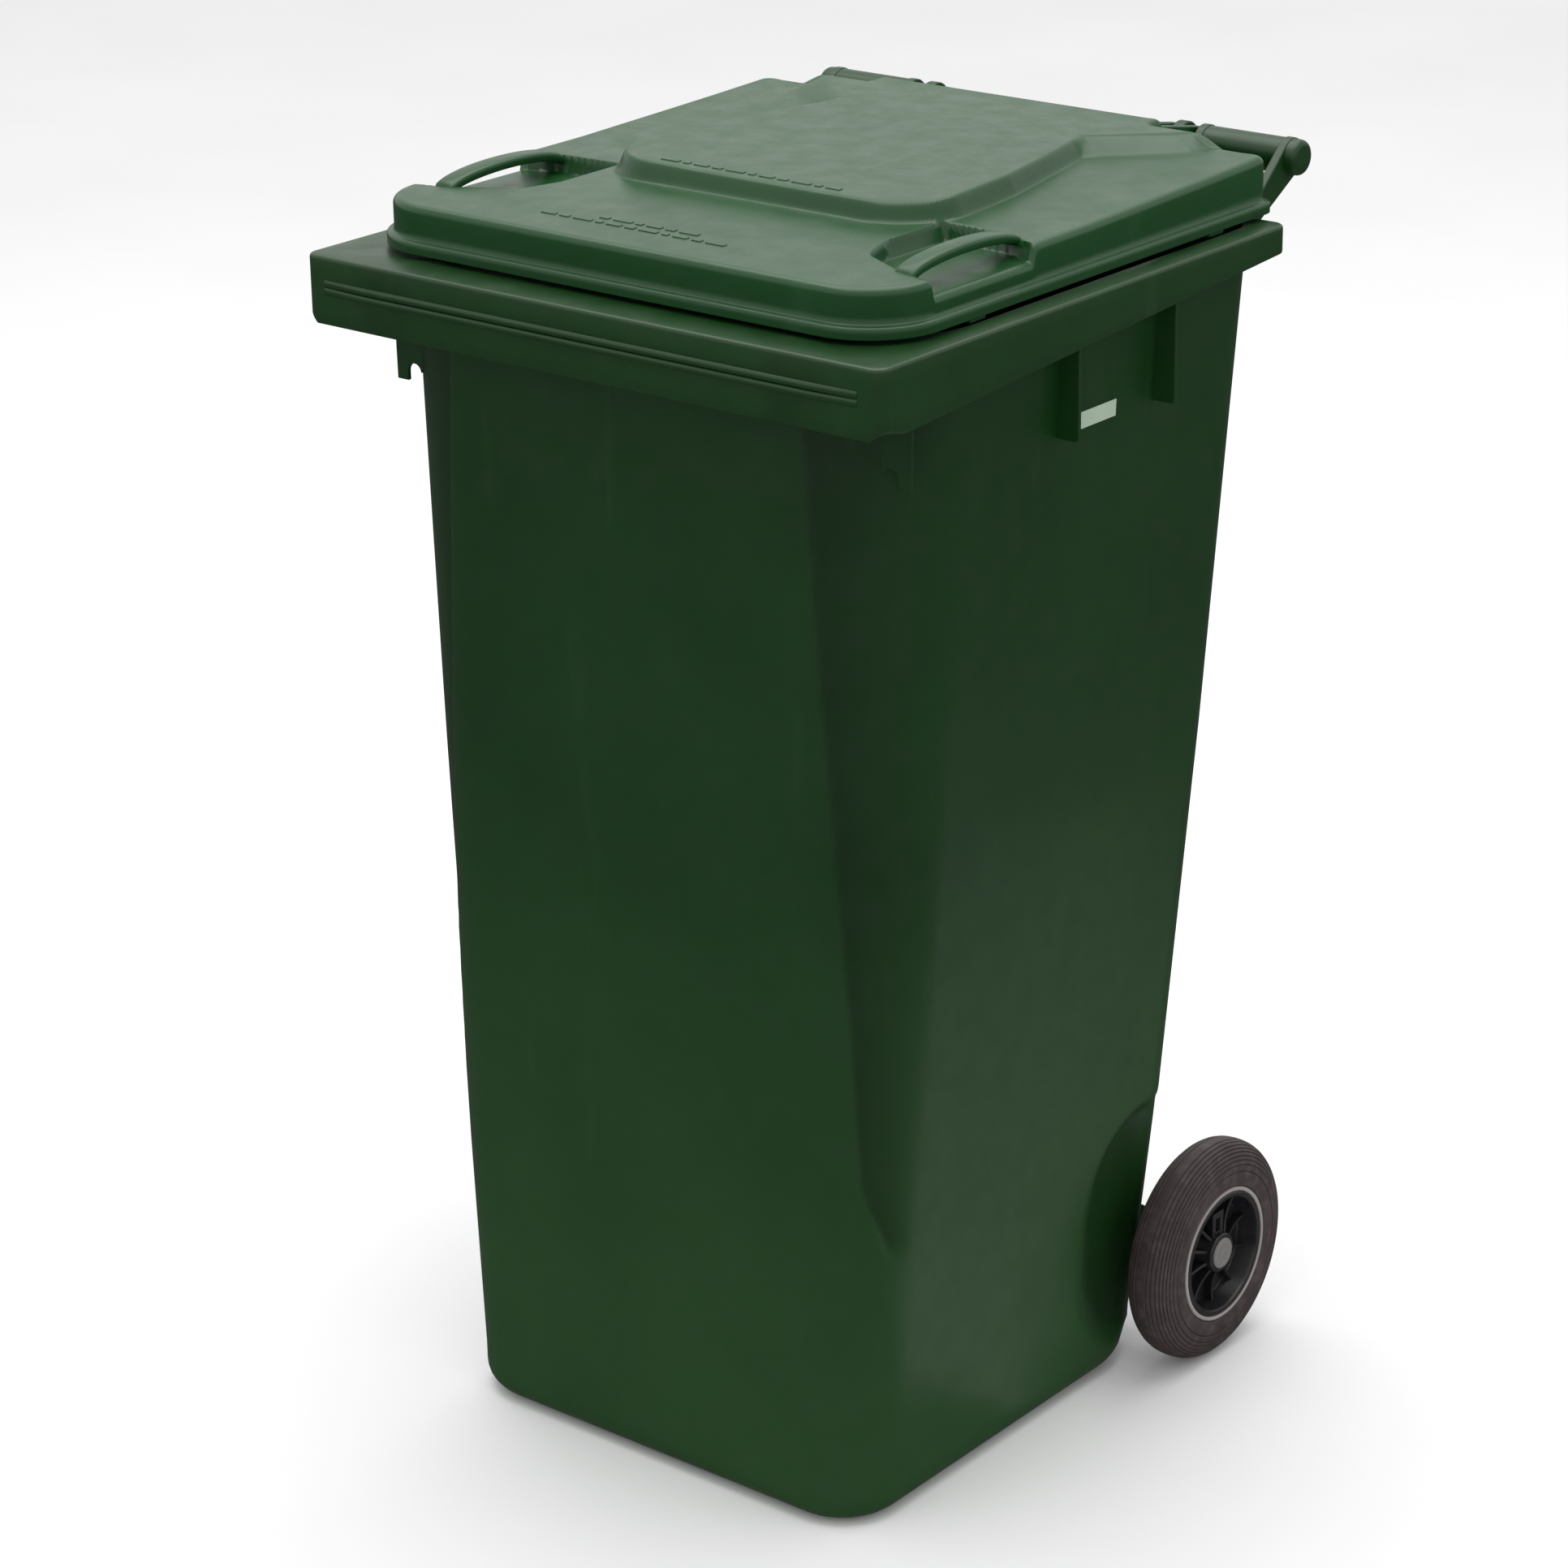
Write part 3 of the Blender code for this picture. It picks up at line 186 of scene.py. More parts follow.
AXLE_DEPTH = 0.500
AXLE_HEIGHT = 0.100
AXLE_RADIUS = 0.010
AXLE_END = 0.2715
AXLE_LUGS = ((0.060, 0.072), (0.188, 0.204))
AXLE_LUG_RADIUS = 0.017
AXLE_LUG_ROOT = 0.030
AXLE_LUG_SPREAD = (-0.040, 0.055)
AXLE_COLLAR = (0.196, 0.224)
AXLE_COLLAR_RADIUS = 0.0155
AXLE_COLLAR_MOUTH = 0.0115
WASHER = (0.2244, 0.2264)
WASHER_RADIUS = 0.0165
GROOVE_RADIUS = 0.0075
GROOVE_HALF_WIDTH = 0.0036

WHEEL_CENTRE = 0.2585
WHEEL_RADIUS = 0.100
WHEEL_HALF_WIDTH = 0.0225
RING_RADIUS = 0.0575
HUB_BOSS_RADIUS = 0.018
HUB_INNER_END = -0.0318
HUB_OUTER_END = 0.019
CAP_SEAT = 0.014
CAP_RADIUS = 0.014
# Face of the cap as (rise over the hub's end, distance in from the cap's radius).
CAP_FACE = (
    (0.0006, 0.0),
    (0.0014, 0.0008),
    (0.0020, 0.0022),
    (0.0022, 0.0050),
    (0.0016, 0.0062),
    (0.0016, 0.0100),
    (0.0022, 0.0112),
)
RIM_LIP_SEAT = 0.0024
RIM_LIP_REACH = 0.0013
RIM_LIP_HEIGHT = 0.0036
HUB_RIBS = 10
RIB_TOP = 0.0150
RIB_FALL = 0.0042
RIB_SAG = 0.0030
RIB_HALF_WALL = 0.0014
LATCH_X = 0.006
LATCH_RADIUS = 0.003
CHAMBER_RADIUS = 0.0055
CHAMBER = (0.0180, 0.0340)
TOWER = (0.008, 0.008, 0.038)
WINDOW = (0.0195, 0.0325)
WINDOW_HALF_WIDTH = 0.0034
WINDOW_REACH = 0.020

PLATE_DEPTH = 0.307
PLATE_HEIGHT = 0.909
PLATE_SIZE = (0.0010, 0.050, 0.014)
NEST_DEPTH = 0.028
NEST_BOTTOM = 0.985
NEST_RADII = (0.0155, 0.018)

HINGE_CENTRE = (0.0, HINGE_DEPTH - ORIGIN_DEPTH, HINGE_HEIGHT)
AXLE_CENTRE = (0.0, AXLE_DEPTH - ORIGIN_DEPTH, AXLE_HEIGHT)
AROUND = 96
SIDES = (-1, 1)
SIDE_NAMES = {-1: "left", 1: "right"}


def y_at(depth):
    return depth - ORIGIN_DEPTH


def stops(pairs, at):
    places, values = zip(*pairs)
    return np.interp(at, places, values)


def section(height, column):
    return np.interp(height, [row[0] for row in BODY_SECTIONS], [row[column] for row in BODY_SECTIONS])


def ease(t):
    """Smooth step from 0 to 1."""
    t = np.clip(t, 0.0, 1.0)
    return t * t * (3.0 - 2.0 * t)


def ramp(t, bend=0.28):
    """Straight slope from 0 to 1 with a rounded foot and a rounded top."""
    t = np.clip(t, 0.0, 1.0)
    slope = 1.0 / (1.0 - bend)
    low = slope * t**2 / (2 * bend)
    middle = slope * (t - bend / 2)
    high = 1.0 - slope * (1.0 - t) ** 2 / (2 * bend)
    return np.where(t < bend, low, np.where(t > 1.0 - bend, high, middle))


# ---- Materials ------------------------------------------------------------------------------
class Finish:
    """A procedural material that is put together node by node."""

    def __init__(self, name):
        self.material = bpy.data.materials.new(name)
        self.material.use_nodes = True
        self.tree = self.material.node_tree
        self.shader = self.tree.nodes["Principled BSDF"]
        self.place = self.node("ShaderNodeTexCoord").outputs["Object"]

    def feed(self, socket, value):
        """Links a socket to an output, or gives it a plain value."""
        if isinstance(value, bpy.types.NodeSocket):
            self.tree.links.new(value, socket)
        elif socket.type == "RGBA":
            socket.default_value = (*value, 1.0)
        else:
            socket.default_value = value

    def node(self, kind, inputs=None, **settings):
        made = self.tree.nodes.new(kind)
        for key, value in settings.items():
            setattr(made, key, value)
        for key, value in (inputs or {}).items():
            self.feed(made.inputs[key], value)
        return made

    def noise(self, scale, detail=3.0, roughness=0.5, stretch=None):
        place = self.place
        if stretch:
            place = self.node("ShaderNodeMapping", {"Vector": place, "Scale": stretch}).outputs["Vector"]
        inputs = {"Vector": place, "Scale": scale, "Detail": detail, "Roughness": roughness}
        return self.node("ShaderNodeTexNoise", inputs).outputs["Fac"]

    def span(self, source, low, high, to_low=0.0, to_high=1.0):
        inputs = {"Value": source, "From Min": low, "From Max": high, "To Min": to_low, "To Max": to_high}
        return self.node("ShaderNodeMapRange", inputs).outputs["Result"]

    def maths(self, operation, a, b):
        return self.node("ShaderNodeMath", {0: a, 1: b}, operation=operation).outputs["Value"]

    def blend(self, share, low, high):
        inputs = {"Factor": share, 6: low, 7: high}
        return self.node("ShaderNodeMix", inputs, data_type="RGBA").outputs[2]

    def edges(self, radius):
        """1 along rounded-over edges, 0 on open faces, and the softened normal."""
        soft = self.node("ShaderNodeBevel", {"Radius": radius}, samples=6).outputs["Normal"]
        face = self.node("ShaderNodeNewGeometry").outputs["Normal"]
        dot = self.node("ShaderNodeVectorMath", {0: soft, 1: face}, operation="DOT_PRODUCT")
        return self.span(dot.outputs["Value"], 0.97, 0.86), soft

    def bumps(self, normal, *layers):
        """Stacks (height, strength, distance) layers on a normal."""
        for height, strength, distance in layers:
            inputs = {"Strength": strength, "Distance": distance, "Height": height, "Normal": normal}
            normal = self.node("ShaderNodeBump", inputs).outputs["Normal"]
        self.feed(self.shader.inputs["Normal"], normal)

    def height_share(self, low, high):
        parts = self.node("ShaderNodeSeparateXYZ", {"Vector": self.place})
        return self.span(parts.outputs["Z"], low, high)

    def done(self, **sockets):
        for key, value in sockets.items():
            self.feed(self.shader.inputs[key.replace("_", " ")], value)
        return self.material


def moulded_plastic(name, deep, light, gloss, dust_and_floor_light=None):
    """Satin moulded plastic: cloudy colour, fine grain, pale worn edges and faint scuffs. Given a low
    colour, the lower walls also turn paler (dust plus painted light bounced up from the floor), and the
    recess and flute get painted shade.
    """
    f = Finish(name)
    cloud = f.noise(5.0, 4.0, 0.55)
    colour = f.blend(f.span(cloud, 0.34, 0.66), deep, light)
    fleck = f.span(f.noise(420.0, 2.0), 0.62, 0.78, 0.0, 0.22)
    colour = f.blend(fleck, colour, tuple(min(1.0, c * 1.7 + 0.01) for c in light))
    scuff = f.noise(16.0, 6.0, 0.62, (1.0, 1.0, 0.14))
    scuffs = f.span(scuff, 0.60, 0.74, 0.0, 0.35)
    colour = f.blend(f.maths("MULTIPLY", scuffs, 0.5), colour, tuple(c * 1.6 + 0.02 for c in light))
    # Paler green towards the bottom: partly dust, partly painted light bounced up from the white floor.
    if dust_and_floor_light:
        low = f.span(f.height_share(0.0, 0.60), 0.0, 1.0, 0.85, 0.0)
        dust_and_floor_light_share = f.maths("MULTIPLY", low, f.span(f.noise(9.0, 5.0), 0.25, 0.75, 0.7, 1.0))
        colour = f.blend(dust_and_floor_light_share, colour, dust_and_floor_light)
        # Painted shade: the wheel recess and the front corners' flutes are darkened towards half the deep
        # colour.
        hollow = f.node("ShaderNodeAttribute", attribute_name="hollow").outputs["Fac"]
        colour = f.blend(f.span(hollow, 0.05, 0.95, 0.0, 0.55), colour, tuple(c * 0.5 for c in deep))
    worn, soft = f.edges(0.0013)
    colour = f.blend(f.maths("MULTIPLY", worn, 0.34), colour, tuple(c * 2.0 + 0.02 for c in light))
    rough = f.span(f.noise(38.0, 5.0, 0.6), 0.25, 0.75, gloss - 0.05, gloss + 0.10)
    rough = f.maths("ADD", rough, f.maths("MULTIPLY", scuffs, 0.25))
    f.bumps(
        soft,
        (f.noise(7.0, 2.0, 0.4), 0.16, 0.0040),
        (f.noise(1500.0, 2.0), 0.10, 0.00012),
        (scuff, 0.04, 0.0006),
    )
    return f.done(Base_Color=colour, Roughness=rough, Specular_IOR_Level=0.5)


def tyre_rubber():
    f = Finish("tyre_rubber_look")
    cloud = f.span(f.noise(14.0, 6.0, 0.6), 0.30, 0.70)
    colour = f.blend(cloud, (0.028, 0.0175, 0.019), (0.054, 0.035, 0.038))
    dust = f.span(f.noise(90.0, 6.0, 0.7), 0.48, 0.72, 0.0, 0.55)
    colour = f.blend(dust, colour, (0.105, 0.074, 0.078))
    worn, soft = f.edges(0.0010)
    colour = f.blend(f.maths("MULTIPLY", worn, 0.45), colour, (0.110, 0.085, 0.082))
    rough = f.span(f.noise(60.0, 4.0), 0.3, 0.7, 0.52, 0.78)
    f.bumps(soft, (f.noise(260.0, 4.0), 0.22, 0.0004), (f.noise(30.0, 3.0), 0.10, 0.0012))
    return f.done(Base_Color=colour, Roughness=rough)


def metal(name, dark, light, rough_low, rough_high, stretch):
    """Drawn steel with fine lines along its length and dull cloudy zinc."""
    f = Finish(name)
    lines = f.noise(40.0, 4.0, 0.6, stretch)
    colour = f.blend(f.span(f.noise(60.0, 5.0), 0.3, 0.7), dark, light)
    rough = f.span(lines, 0.3, 0.7, rough_low, rough_high)
    worn, soft = f.edges(0.0006)
    colour = f.blend(f.maths("MULTIPLY", worn, 0.4), colour, tuple(min(1.0, c * 1.3) for c in light))
    f.bumps(soft, (lines, 0.12, 0.0003))
    return f.done(Base_Color=colour, Roughness=rough, Metallic=1.0)


# The last colour is the paler green low on the walls: dust plus painted floor light.
BODY_LOOK = moulded_plastic(
    "body_plastic", (0.0040, 0.0340, 0.0048), (0.0056, 0.0400, 0.0062), 0.34, (0.0190, 0.0720, 0.0165)
)
# Painted top light: the lid's green is made paler than the body's to stand for the extra light falling on
# its top.
LID_LOOK = moulded_plastic("lid_plastic_painted_light", (0.0048, 0.0500, 0.0095), (0.0064, 0.0580, 0.0120), 0.30)
HUB_LOOK = moulded_plastic("hub_plastic", (0.0090, 0.0085, 0.0100), (0.0160, 0.0145, 0.0165), 0.26)
NYLON_LOOK = moulded_plastic("nylon_plastic", (0.0110, 0.0110, 0.0120), (0.0190, 0.0190, 0.0200), 0.42)
CAP_LOOK = moulded_plastic("cap_plastic", (0.150, 0.140, 0.138), (0.210, 0.200, 0.196), 0.42)
RIM_RING_LOOK = moulded_plastic("wheel_rim_plastic", (0.260, 0.232, 0.226), (0.360, 0.330, 0.320), 0.45)
PLATE_LOOK = moulded_plastic("marking_plastic", (0.300, 0.400, 0.300), (0.420, 0.520, 0.410), 0.50)
TYRE_LOOK = tyre_rubber()
ZINC_LOOK = metal("zinc_look", (0.42, 0.43, 0.45), (0.62, 0.63, 0.66), 0.24, 0.46, (0.05, 1.0, 1.0))
SPRING_LOOK = metal("spring_look", (0.36, 0.36, 0.38), (0.52, 0.52, 0.55), 0.22, 0.40, (1.0, 1.0, 0.2))


# ---- Mesh helpers ---------------------------------------------------------------------------
def put(name, bm):
    """Puts a bmesh into the scene as an object."""
    mesh = bpy.data.meshes.new(name)
    bm.to_mesh(mesh)
    bm.free()
    made = bpy.data.objects.new(name, mesh)
    bpy.context.scene.collection.objects.link(made)
    return made


def piece(name, bm, look, body, nodes=(), sharp=35.0, bevel=0.0):
    """Turns a bmesh into a shown piece that rides on a body."""
    bmesh.ops.recalc_face_normals(bm, faces=bm.faces)
    made = put(name, bm)
    made.data.materials.append(look)
    made.data.shade_smooth()
    made.data.set_sharp_from_angle(angle=math.radians(sharp))
    if bevel:
        step = made.modifiers.new("Rounding", "BEVEL")
        step.width = bevel
        step.segments = 3
        step.limit_method = "ANGLE"
        step.angle_limit = math.radians(30.0)
        step.use_clamp_overlap = True
    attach(made, body)
    if nodes:
        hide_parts(*nodes)
    return made


def skin(rings, closed=False, capped=False):
    """Joins rings of points, all of the same length. It may cap the ends or join last to first."""
    bm = bmesh.new()
    rows = [[bm.verts.new(point) for point in ring] for ring in rings]
    pairs = list(zip(rows, rows[1:]))
    if closed:
        pairs.append((rows[-1], rows[0]))
    for low, high in pairs:
        for i in range(len(low)):
            j = (i + 1) % len(low)
            bm.faces.new((low[i], low[j], high[j], high[i]))
    if capped:
        bm.faces.new(reversed(rows[0]))
        bm.faces.new(rows[-1])
    return bm


def strip_cap(bm, level):
    """Closes a loop that starts at its front middle with strips between mirrored points."""
    count = len(level)
    half = count // 2
    for i in range(half):
        right = (level[i], level[i + 1])
        left = (level[-i - 1] if i + 1 < half else level[half], level[-i % count])
        corners = list(dict.fromkeys((*right, left[0] if i + 1 < half else right[1], left[1])))
        if len(corners) > 2:
            bm.faces.new(corners)


def prism(outline, axis, low, high):
    """Prism from an outline. Axis X takes (depth, height) points, Y (x, height)."""
    if axis == "X":
        return skin([[(at, y_at(a), b) for a, b in outline] for at in (low, high)], capped=True)
    return skin([[(a, at, b) for a, b in outline] for at in (low, high)], capped=True)


def lathe(profile, centre, axis="X", steps=AROUND, closed=False, flip=1.0):
    """Solid of revolution from (place along the axis, radius) points."""
    bm = bmesh.new()
    rows = []
    for place, radius in profile:
        row = []
        for step in range(steps if radius > 0 else 1):
            turn = 2 * math.pi * (step + 0.5) / steps
            a, b = radius * math.cos(turn), radius * math.sin(turn)
            point = (flip * place, a, b) if axis == "X" else (a, b, place)
            row.append(bm.verts.new(Vector(centre) + Vector(point)))
        rows.append(row)
    pairs = list(zip(rows, rows[1:]))
    if closed:
        pairs.append((rows[-1], rows[0]))
    for low, high in pairs:
        for i in range(steps):
            j = (i + 1) % steps
            corners = [low[i % len(low)], low[j % len(low)], high[j % len(high)], high[i % len(high)]]
            bm.faces.new(dict.fromkeys(corners))
    return bm


def arc(centre, radius, start, end, steps=16):
    turns = np.radians(np.linspace(start, end, steps))
    return [(centre[0] + radius * math.cos(t), centre[1] + radius * math.sin(t)) for t in turns]


def bend(before, here, after, radius, steps):
    """Points of a rounded corner."""
    a, b, c = Vector(before), Vector(here), Vector(after)
    room = min(radius, (a - b).length * 0.45, (c - b).length * 0.45)
    start, end = b + (a - b).normalized() * room, b + (c - b).normalized() * room
    shares = [step / steps for step in range(steps + 1)]
    return [tuple(start * (1 - t) ** 2 + b * 2 * t * (1 - t) + end * t**2) for t in shares]


def rounded(profile, radius, steps=3):
    """Rounds the inner corners of an open profile."""
    points = [profile[0]]
    for corner in zip(profile, profile[1:], profile[2:]):
        points += bend(*corner, radius, steps)
    return points + [profile[-1]]


def cut(made, tools):
    """Cuts bmesh tools away from a mesh object."""
    for bm in tools:
        bmesh.ops.recalc_face_normals(bm, faces=bm.faces)
        tool = put("tool", bm)
        step = made.modifiers.new("Cut", "BOOLEAN")
        step.operation = "DIFFERENCE"
        step.solver = "EXACT"
        step.object = tool
        bpy.context.view_layer.update()
        graph = bpy.context.evaluated_depsgraph_get()
        result = bpy.data.meshes.new_from_object(made.evaluated_get(graph))
        made.modifiers.remove(step)
        made.data = result
        bpy.data.objects.remove(tool)


def rod(low, high, radius, centre, axis="X", steps=48):
    return lathe(((low, 0.0), (low, radius), (high, radius), (high, 0.0)), centre, axis, steps)


def slab(low, high, bm=None):
    bm = bm or bmesh.new()
    size = Vector(high) - Vector(low)
    for vert in bmesh.ops.create_cube(bm, size=1.0)["verts"]:
        vert.co = Vector(low) + Vector(size[k] * (vert.co[k] + 0.5) for k in range(3))
    return bm


def sided(side, low, high):
    return sorted((side * low, side * high))


def teardrop(anchor_top, anchor_low, centre, radius, steps=28):
    """Plate outline from two wall points to a round eye, as (depth, height)."""
    middle = Vector(centre)
    outline = [tuple(anchor_low)]
    angles = []
    for anchor, side in ((anchor_low, -1), (anchor_top, 1)):
        away = Vector(anchor) - middle
        angles.append(math.atan2(away.y, away.x) - side * math.acos(radius / away.length))
    start, end = angles
    while end < start:
        end += 2 * math.pi
    for step in range(steps + 1):
        turn = start + (end - start) * step / steps
        outline.append(tuple(middle + radius * Vector((math.cos(turn), math.sin(turn)))))
    return outline + [tuple(anchor_top)]


# ---- Body shell -----------------------------------------------------------------------------
FRONT_COLUMNS = 16
CORNER_COLUMNS = 44
SIDE_COLUMNS = 92
REAR_CORNER_COLUMNS = 14
REAR_COLUMNS = 14


def half_plan(half_width, front, rear, front_corner, rear_corner):
    """Right half of a rounded rectangle from its front middle to its rear middle."""
    straight, low = half_width - front_corner, front + front_corner
    points = [(straight * k / FRONT_COLUMNS, front) for k in range(FRONT_COLUMNS)]
    points += arc((straight, low), front_corner, -90, 0, CORNER_COLUMNS + 1)
    straight, high = half_width - rear_corner, rear - rear_corner
    points += [(half_width, low + (high - low) * k / SIDE_COLUMNS) for k in range(1, SIDE_COLUMNS)]
    points += arc((straight, high), rear_corner, 0, 90, REAR_CORNER_COLUMNS + 1)
    points += [(straight * (1 - k / REAR_COLUMNS), rear) for k in range(1, REAR_COLUMNS + 1)]
    return np.array(points)


def inward(plan):
    """Unit normals of a half outline, pointing into the shape."""
    ahead = np.roll(plan, -1, 0) - np.roll(plan, 1, 0)
    ahead[0] = (1.0, 0.0)
    ahead[-1] = (-1.0, 0.0)
    ahead /= np.linalg.norm(ahead, axis=1)[:, None]
    return np.stack([-ahead[:, 1], ahead[:, 0]], 1)


def front_wall(x, height):
    corner = section(height, 4)
    beyond = np.maximum(0.0, np.abs(x) - section(height, 1) + corner)
    return section(height, 2) + corner - np.sqrt(corner**2 - beyond**2)


def hollows(x, depth, height):
    """How far the skin is drawn in by the wheel recess and by the flute of the front corner."""
    across = np.abs(depth - RECESS_CENTRE[0]) / RECESS_REACH[0]
    up = abs(height - RECESS_CENTRE[1]) / RECESS_REACH[1]
    edge = (across**RECESS_POWER + up**RECESS_POWER) ** (1 / RECESS_POWER)
    run = 0.26 - 0.17 * ease((height - 0.17) / 0.08)
    begins, ends = RECESS_REAR
    shallow = 1.0 - (1.0 - RECESS_REAR_SHARE) * ease((depth - begins) / (ends - begins))
    recess = RECESS_DEPTH * shallow * ease((1.0 - edge) / run) * ((x > 0.15) & (depth > 0.3))
    if height <= FLUTE_FOOT:
        return recess, np.zeros_like(x)
    crease = float(stops(FLUTE_LINE, height))
    at = (crease, float(front_wall(crease, height)))
    away = np.hypot(x - at[0], depth - at[1])
    reach = math.hypot(section(height, 1) - 0.004 - at[0], FLUTE_REAR - at[1])
    foot = FLUTE_DEPTH * float(ease((height - FLUTE_FOOT) / 0.022))
    flute = foot * ease(away / 0.0055) * (1.0 - ease(away / reach)) ** 1.2 * ((x > crease) & (depth < 0.25))
    return recess, flute


def dish(plan, height, normals):
    recess, flute = hollows(plan[:, 0], plan[:, 1], height)
    return recess * np.abs(normals[:, 0]) ** 2 + flute


def skin_ring(height, level, inset=0.0, rear_cut=0.0, shaped=True):
    """One loop of the body's skin, moved in by inset."""
    plan = half_plan(
        section(height, 1) - inset,
        section(height, 2) + inset,
        section(height, 3) - max(inset, rear_cut),
        max(SMALLEST_CORNER, section(height, 4) - inset),
        max(SMALLEST_CORNER, section(height, 5) - inset),
    )
    if shaped:
        normals = inward(plan)
        plan = plan + normals * dish(plan, level, normals)[:, None]
    return loop(plan, level)


def loop(plan, heights):
    """Whole loop from a right half, starting at the front middle."""
    heights = np.broadcast_to(heights, len(plan))
    right = [(x, y_at(d), z) for (x, d), z in zip(plan, heights)]
    left = [(-x, y, z) for x, y, z in reversed(right[1:-1])]
    return right + left


def base_loops(offset, steps=8):
    fillet = BASE_FILLET - offset
    floor = BODY_FLOOR if offset else 0.0
    loops = []
    for step in range(steps):
        turn = math.pi / 2 * step / steps
        height = floor + fillet * (1 - math.cos(turn))
        inset = offset + fillet * (1 - math.sin(turn))
        cut_back = offset + max(0.0, BASE_REAR_CUT - height)
        loops.append(skin_ring(BODY_SECTIONS[0][0], height, inset, cut_back))
    return loops


def rim_plan(inset):
    corner = max(0.002, RIM_CORNER - inset)
    return half_plan(RIM_HALF_WIDTH - inset, inset, RIM_LENGTH - inset, corner, corner)


def band_bottom(plan):
    x, depth = plan[:, 0], plan[:, 1]
    height = BAND_FRONT_BOTTOM + (BAND_REAR_BOTTOM - BAND_FRONT_BOTTOM) * depth / RIM_LENGTH
    corner = np.clip((x - (RIM_HALF_WIDTH - RIM_CORNER)) / RIM_CORNER, 0.0, 1.0)
    return height + 0.010 * corner * np.clip(1 - depth / 0.030, 0.0, 1.0)


def band_row(inset, share, lift=0.0):
    """Loop of the hanging skirt: share 0 at its bottom edge, 1 at the rim plate."""
    plan = rim_plan(inset)
    bottom = band_bottom(plan) + lift
    return loop(plan, bottom + (RIM_TOP - 0.003 - bottom) * share)


# Heights of the skin's rows as (from, to, step): close by the recess, wider above.
CLOSE_ROWS = (BASE_FILLET, 0.300, 0.005)
WIDE_ROWS = (0.300, 1.006, 0.0105)
UNDER_RIM_FILLET = 0.0015
# Rounded edges as (inset, rise or drop): the skirt's bottom, the rim's outside and its mouth.
SKIRT_EDGE = (
    (BAND_WALL, 0.0010),
    (BAND_WALL - 0.0004, 0.0003),
    (BAND_WALL - 0.0012, 0.0),
    (0.0014, 0.0),
    (0.0004, 0.0004),
    (0.0, 0.0014),
)
RIM_EDGE = ((0.0003, 0.0018), (0.0009, 0.0009), (0.0018, 0.0003), (0.0030, 0.0))
MOUTH_EDGE = ((0.0020, 0.0), (0.0033, 0.0004), (0.0040, 0.0016))


def body_shell():
    levels = list(np.arange(*CLOSE_ROWS)) + list(np.arange(*WIDE_ROWS))
    rows = base_loops(0.0)
    for height in levels:
        cut_back = max(0.0, BASE_REAR_CUT - height)
        rows.append(skin_ring(max(height, BODY_SECTIONS[0][0]), height, 0.0, cut_back))
    top, fillet = RIM_TOP - RIM_PLATE, UNDER_RIM_FILLET
    rows.append(skin_ring(top, top - fillet))
    rows.append(skin_ring(top, top, -fillet))
    rows.append(loop(rim_plan(BAND_WALL + fillet), top))
    rows.append(loop(rim_plan(BAND_WALL), top - fillet))
    rows += [band_row(BAND_WALL, share) for share in (0.75, 0.5, 0.25)]
    rows += [band_row(inset, 0.0, lift) for inset, lift in SKIRT_EDGE]
    rows += [band_row(0.0, share) for share in (0.25, 0.5, 0.75, 1.0)]
    rows += [loop(rim_plan(inset), RIM_TOP - drop) for inset, drop in RIM_EDGE]
    rows += [skin_ring(top, RIM_TOP - drop, inset) for inset, drop in MOUTH_EDGE]
    for height in reversed(levels[::3]):
        if height > BODY_SECTIONS[0][0]:
            rows.append(skin_ring(height, height, BODY_WALL))
    rows += reversed(base_loops(BODY_WALL, 6))
    bm = skin(rows)
    bm.verts.ensure_lookup_table()
    strip_cap(bm, bm.verts[: len(rows[0])])
    strip_cap(bm, bm.verts[-len(rows[0]) :])
    return bm


def mark_hollows(mesh):
    """Stores how deep each point of the skin lies in the wheel recess or the corner flute, for the painted
    shade there.
    """
    shade = mesh.attributes.new("hollow", "FLOAT", "POINT")
    for vert, value in zip(mesh.vertices, shade.data):
        if vert.co.z > BASE_FILLET:
            x, depth = np.array([abs(vert.co.x)]), np.array([vert.co.y + ORIGIN_DEPTH])
            recess, flute = hollows(x, depth, vert.co.z)
            value.value = float(recess[0] / RECESS_DEPTH + flute[0] / FLUTE_DEPTH)


def rim_bead(height):
    """Half-round bead along the skirt's front, lower towards its ends."""
    outline = [(BEAD_ROOT, height + BEAD_HALF_HEIGHT)]
    for step in range(13):
        turn = math.pi * step / 12
        outline.append((-BEAD_REACH * math.sin(turn), height + BEAD_HALF_HEIGHT * math.cos(turn)))
    outline.append((BEAD_ROOT, height - BEAD_HALF_HEIGHT))
    bead = prism(outline, "X", -BEAD_HALF_LENGTH, BEAD_HALF_LENGTH)
    for place in (BEAD_FADE, -BEAD_FADE):
        geometry = bead.verts[:] + bead.edges[:] + bead.faces[:]
        bmesh.ops.bisect_plane(bead, geom=geometry, plane_co=(place, 0, 0), plane_no=(1, 0, 0))
    face = y_at(0.0)
    for vert in bead.verts:
        if abs(vert.co.x) > BEAD_FADE + 0.001 and vert.co.y < face:
            vert.co.y = face + (vert.co.y - face) * BEAD_FADED_SHARE
    return bead


def comb_rib(x):
    wall = float(front_wall(abs(x), COMB_RIB_BACK_BOTTOM)) + BODY_WALL / 2
    outline = (
        (BAND_WALL / 2, TRIM_TOP),
        (BAND_WALL / 2, COMB_RIB_FRONT_BOTTOM),
        (wall, COMB_RIB_BACK_BOTTOM),
        (wall, TRIM_TOP),
    )
    return prism(outline, "X", x - RIB_WALL / 2, x + RIB_WALL / 2)


def gusset(outline, side, depth):
    """Upright plate across the side wall, from an (x, height) outline."""
    y = y_at(depth)
    return prism([(side * x, z) for x, z in outline], "Y", y - RIB_WALL / 2, y + RIB_WALL / 2)


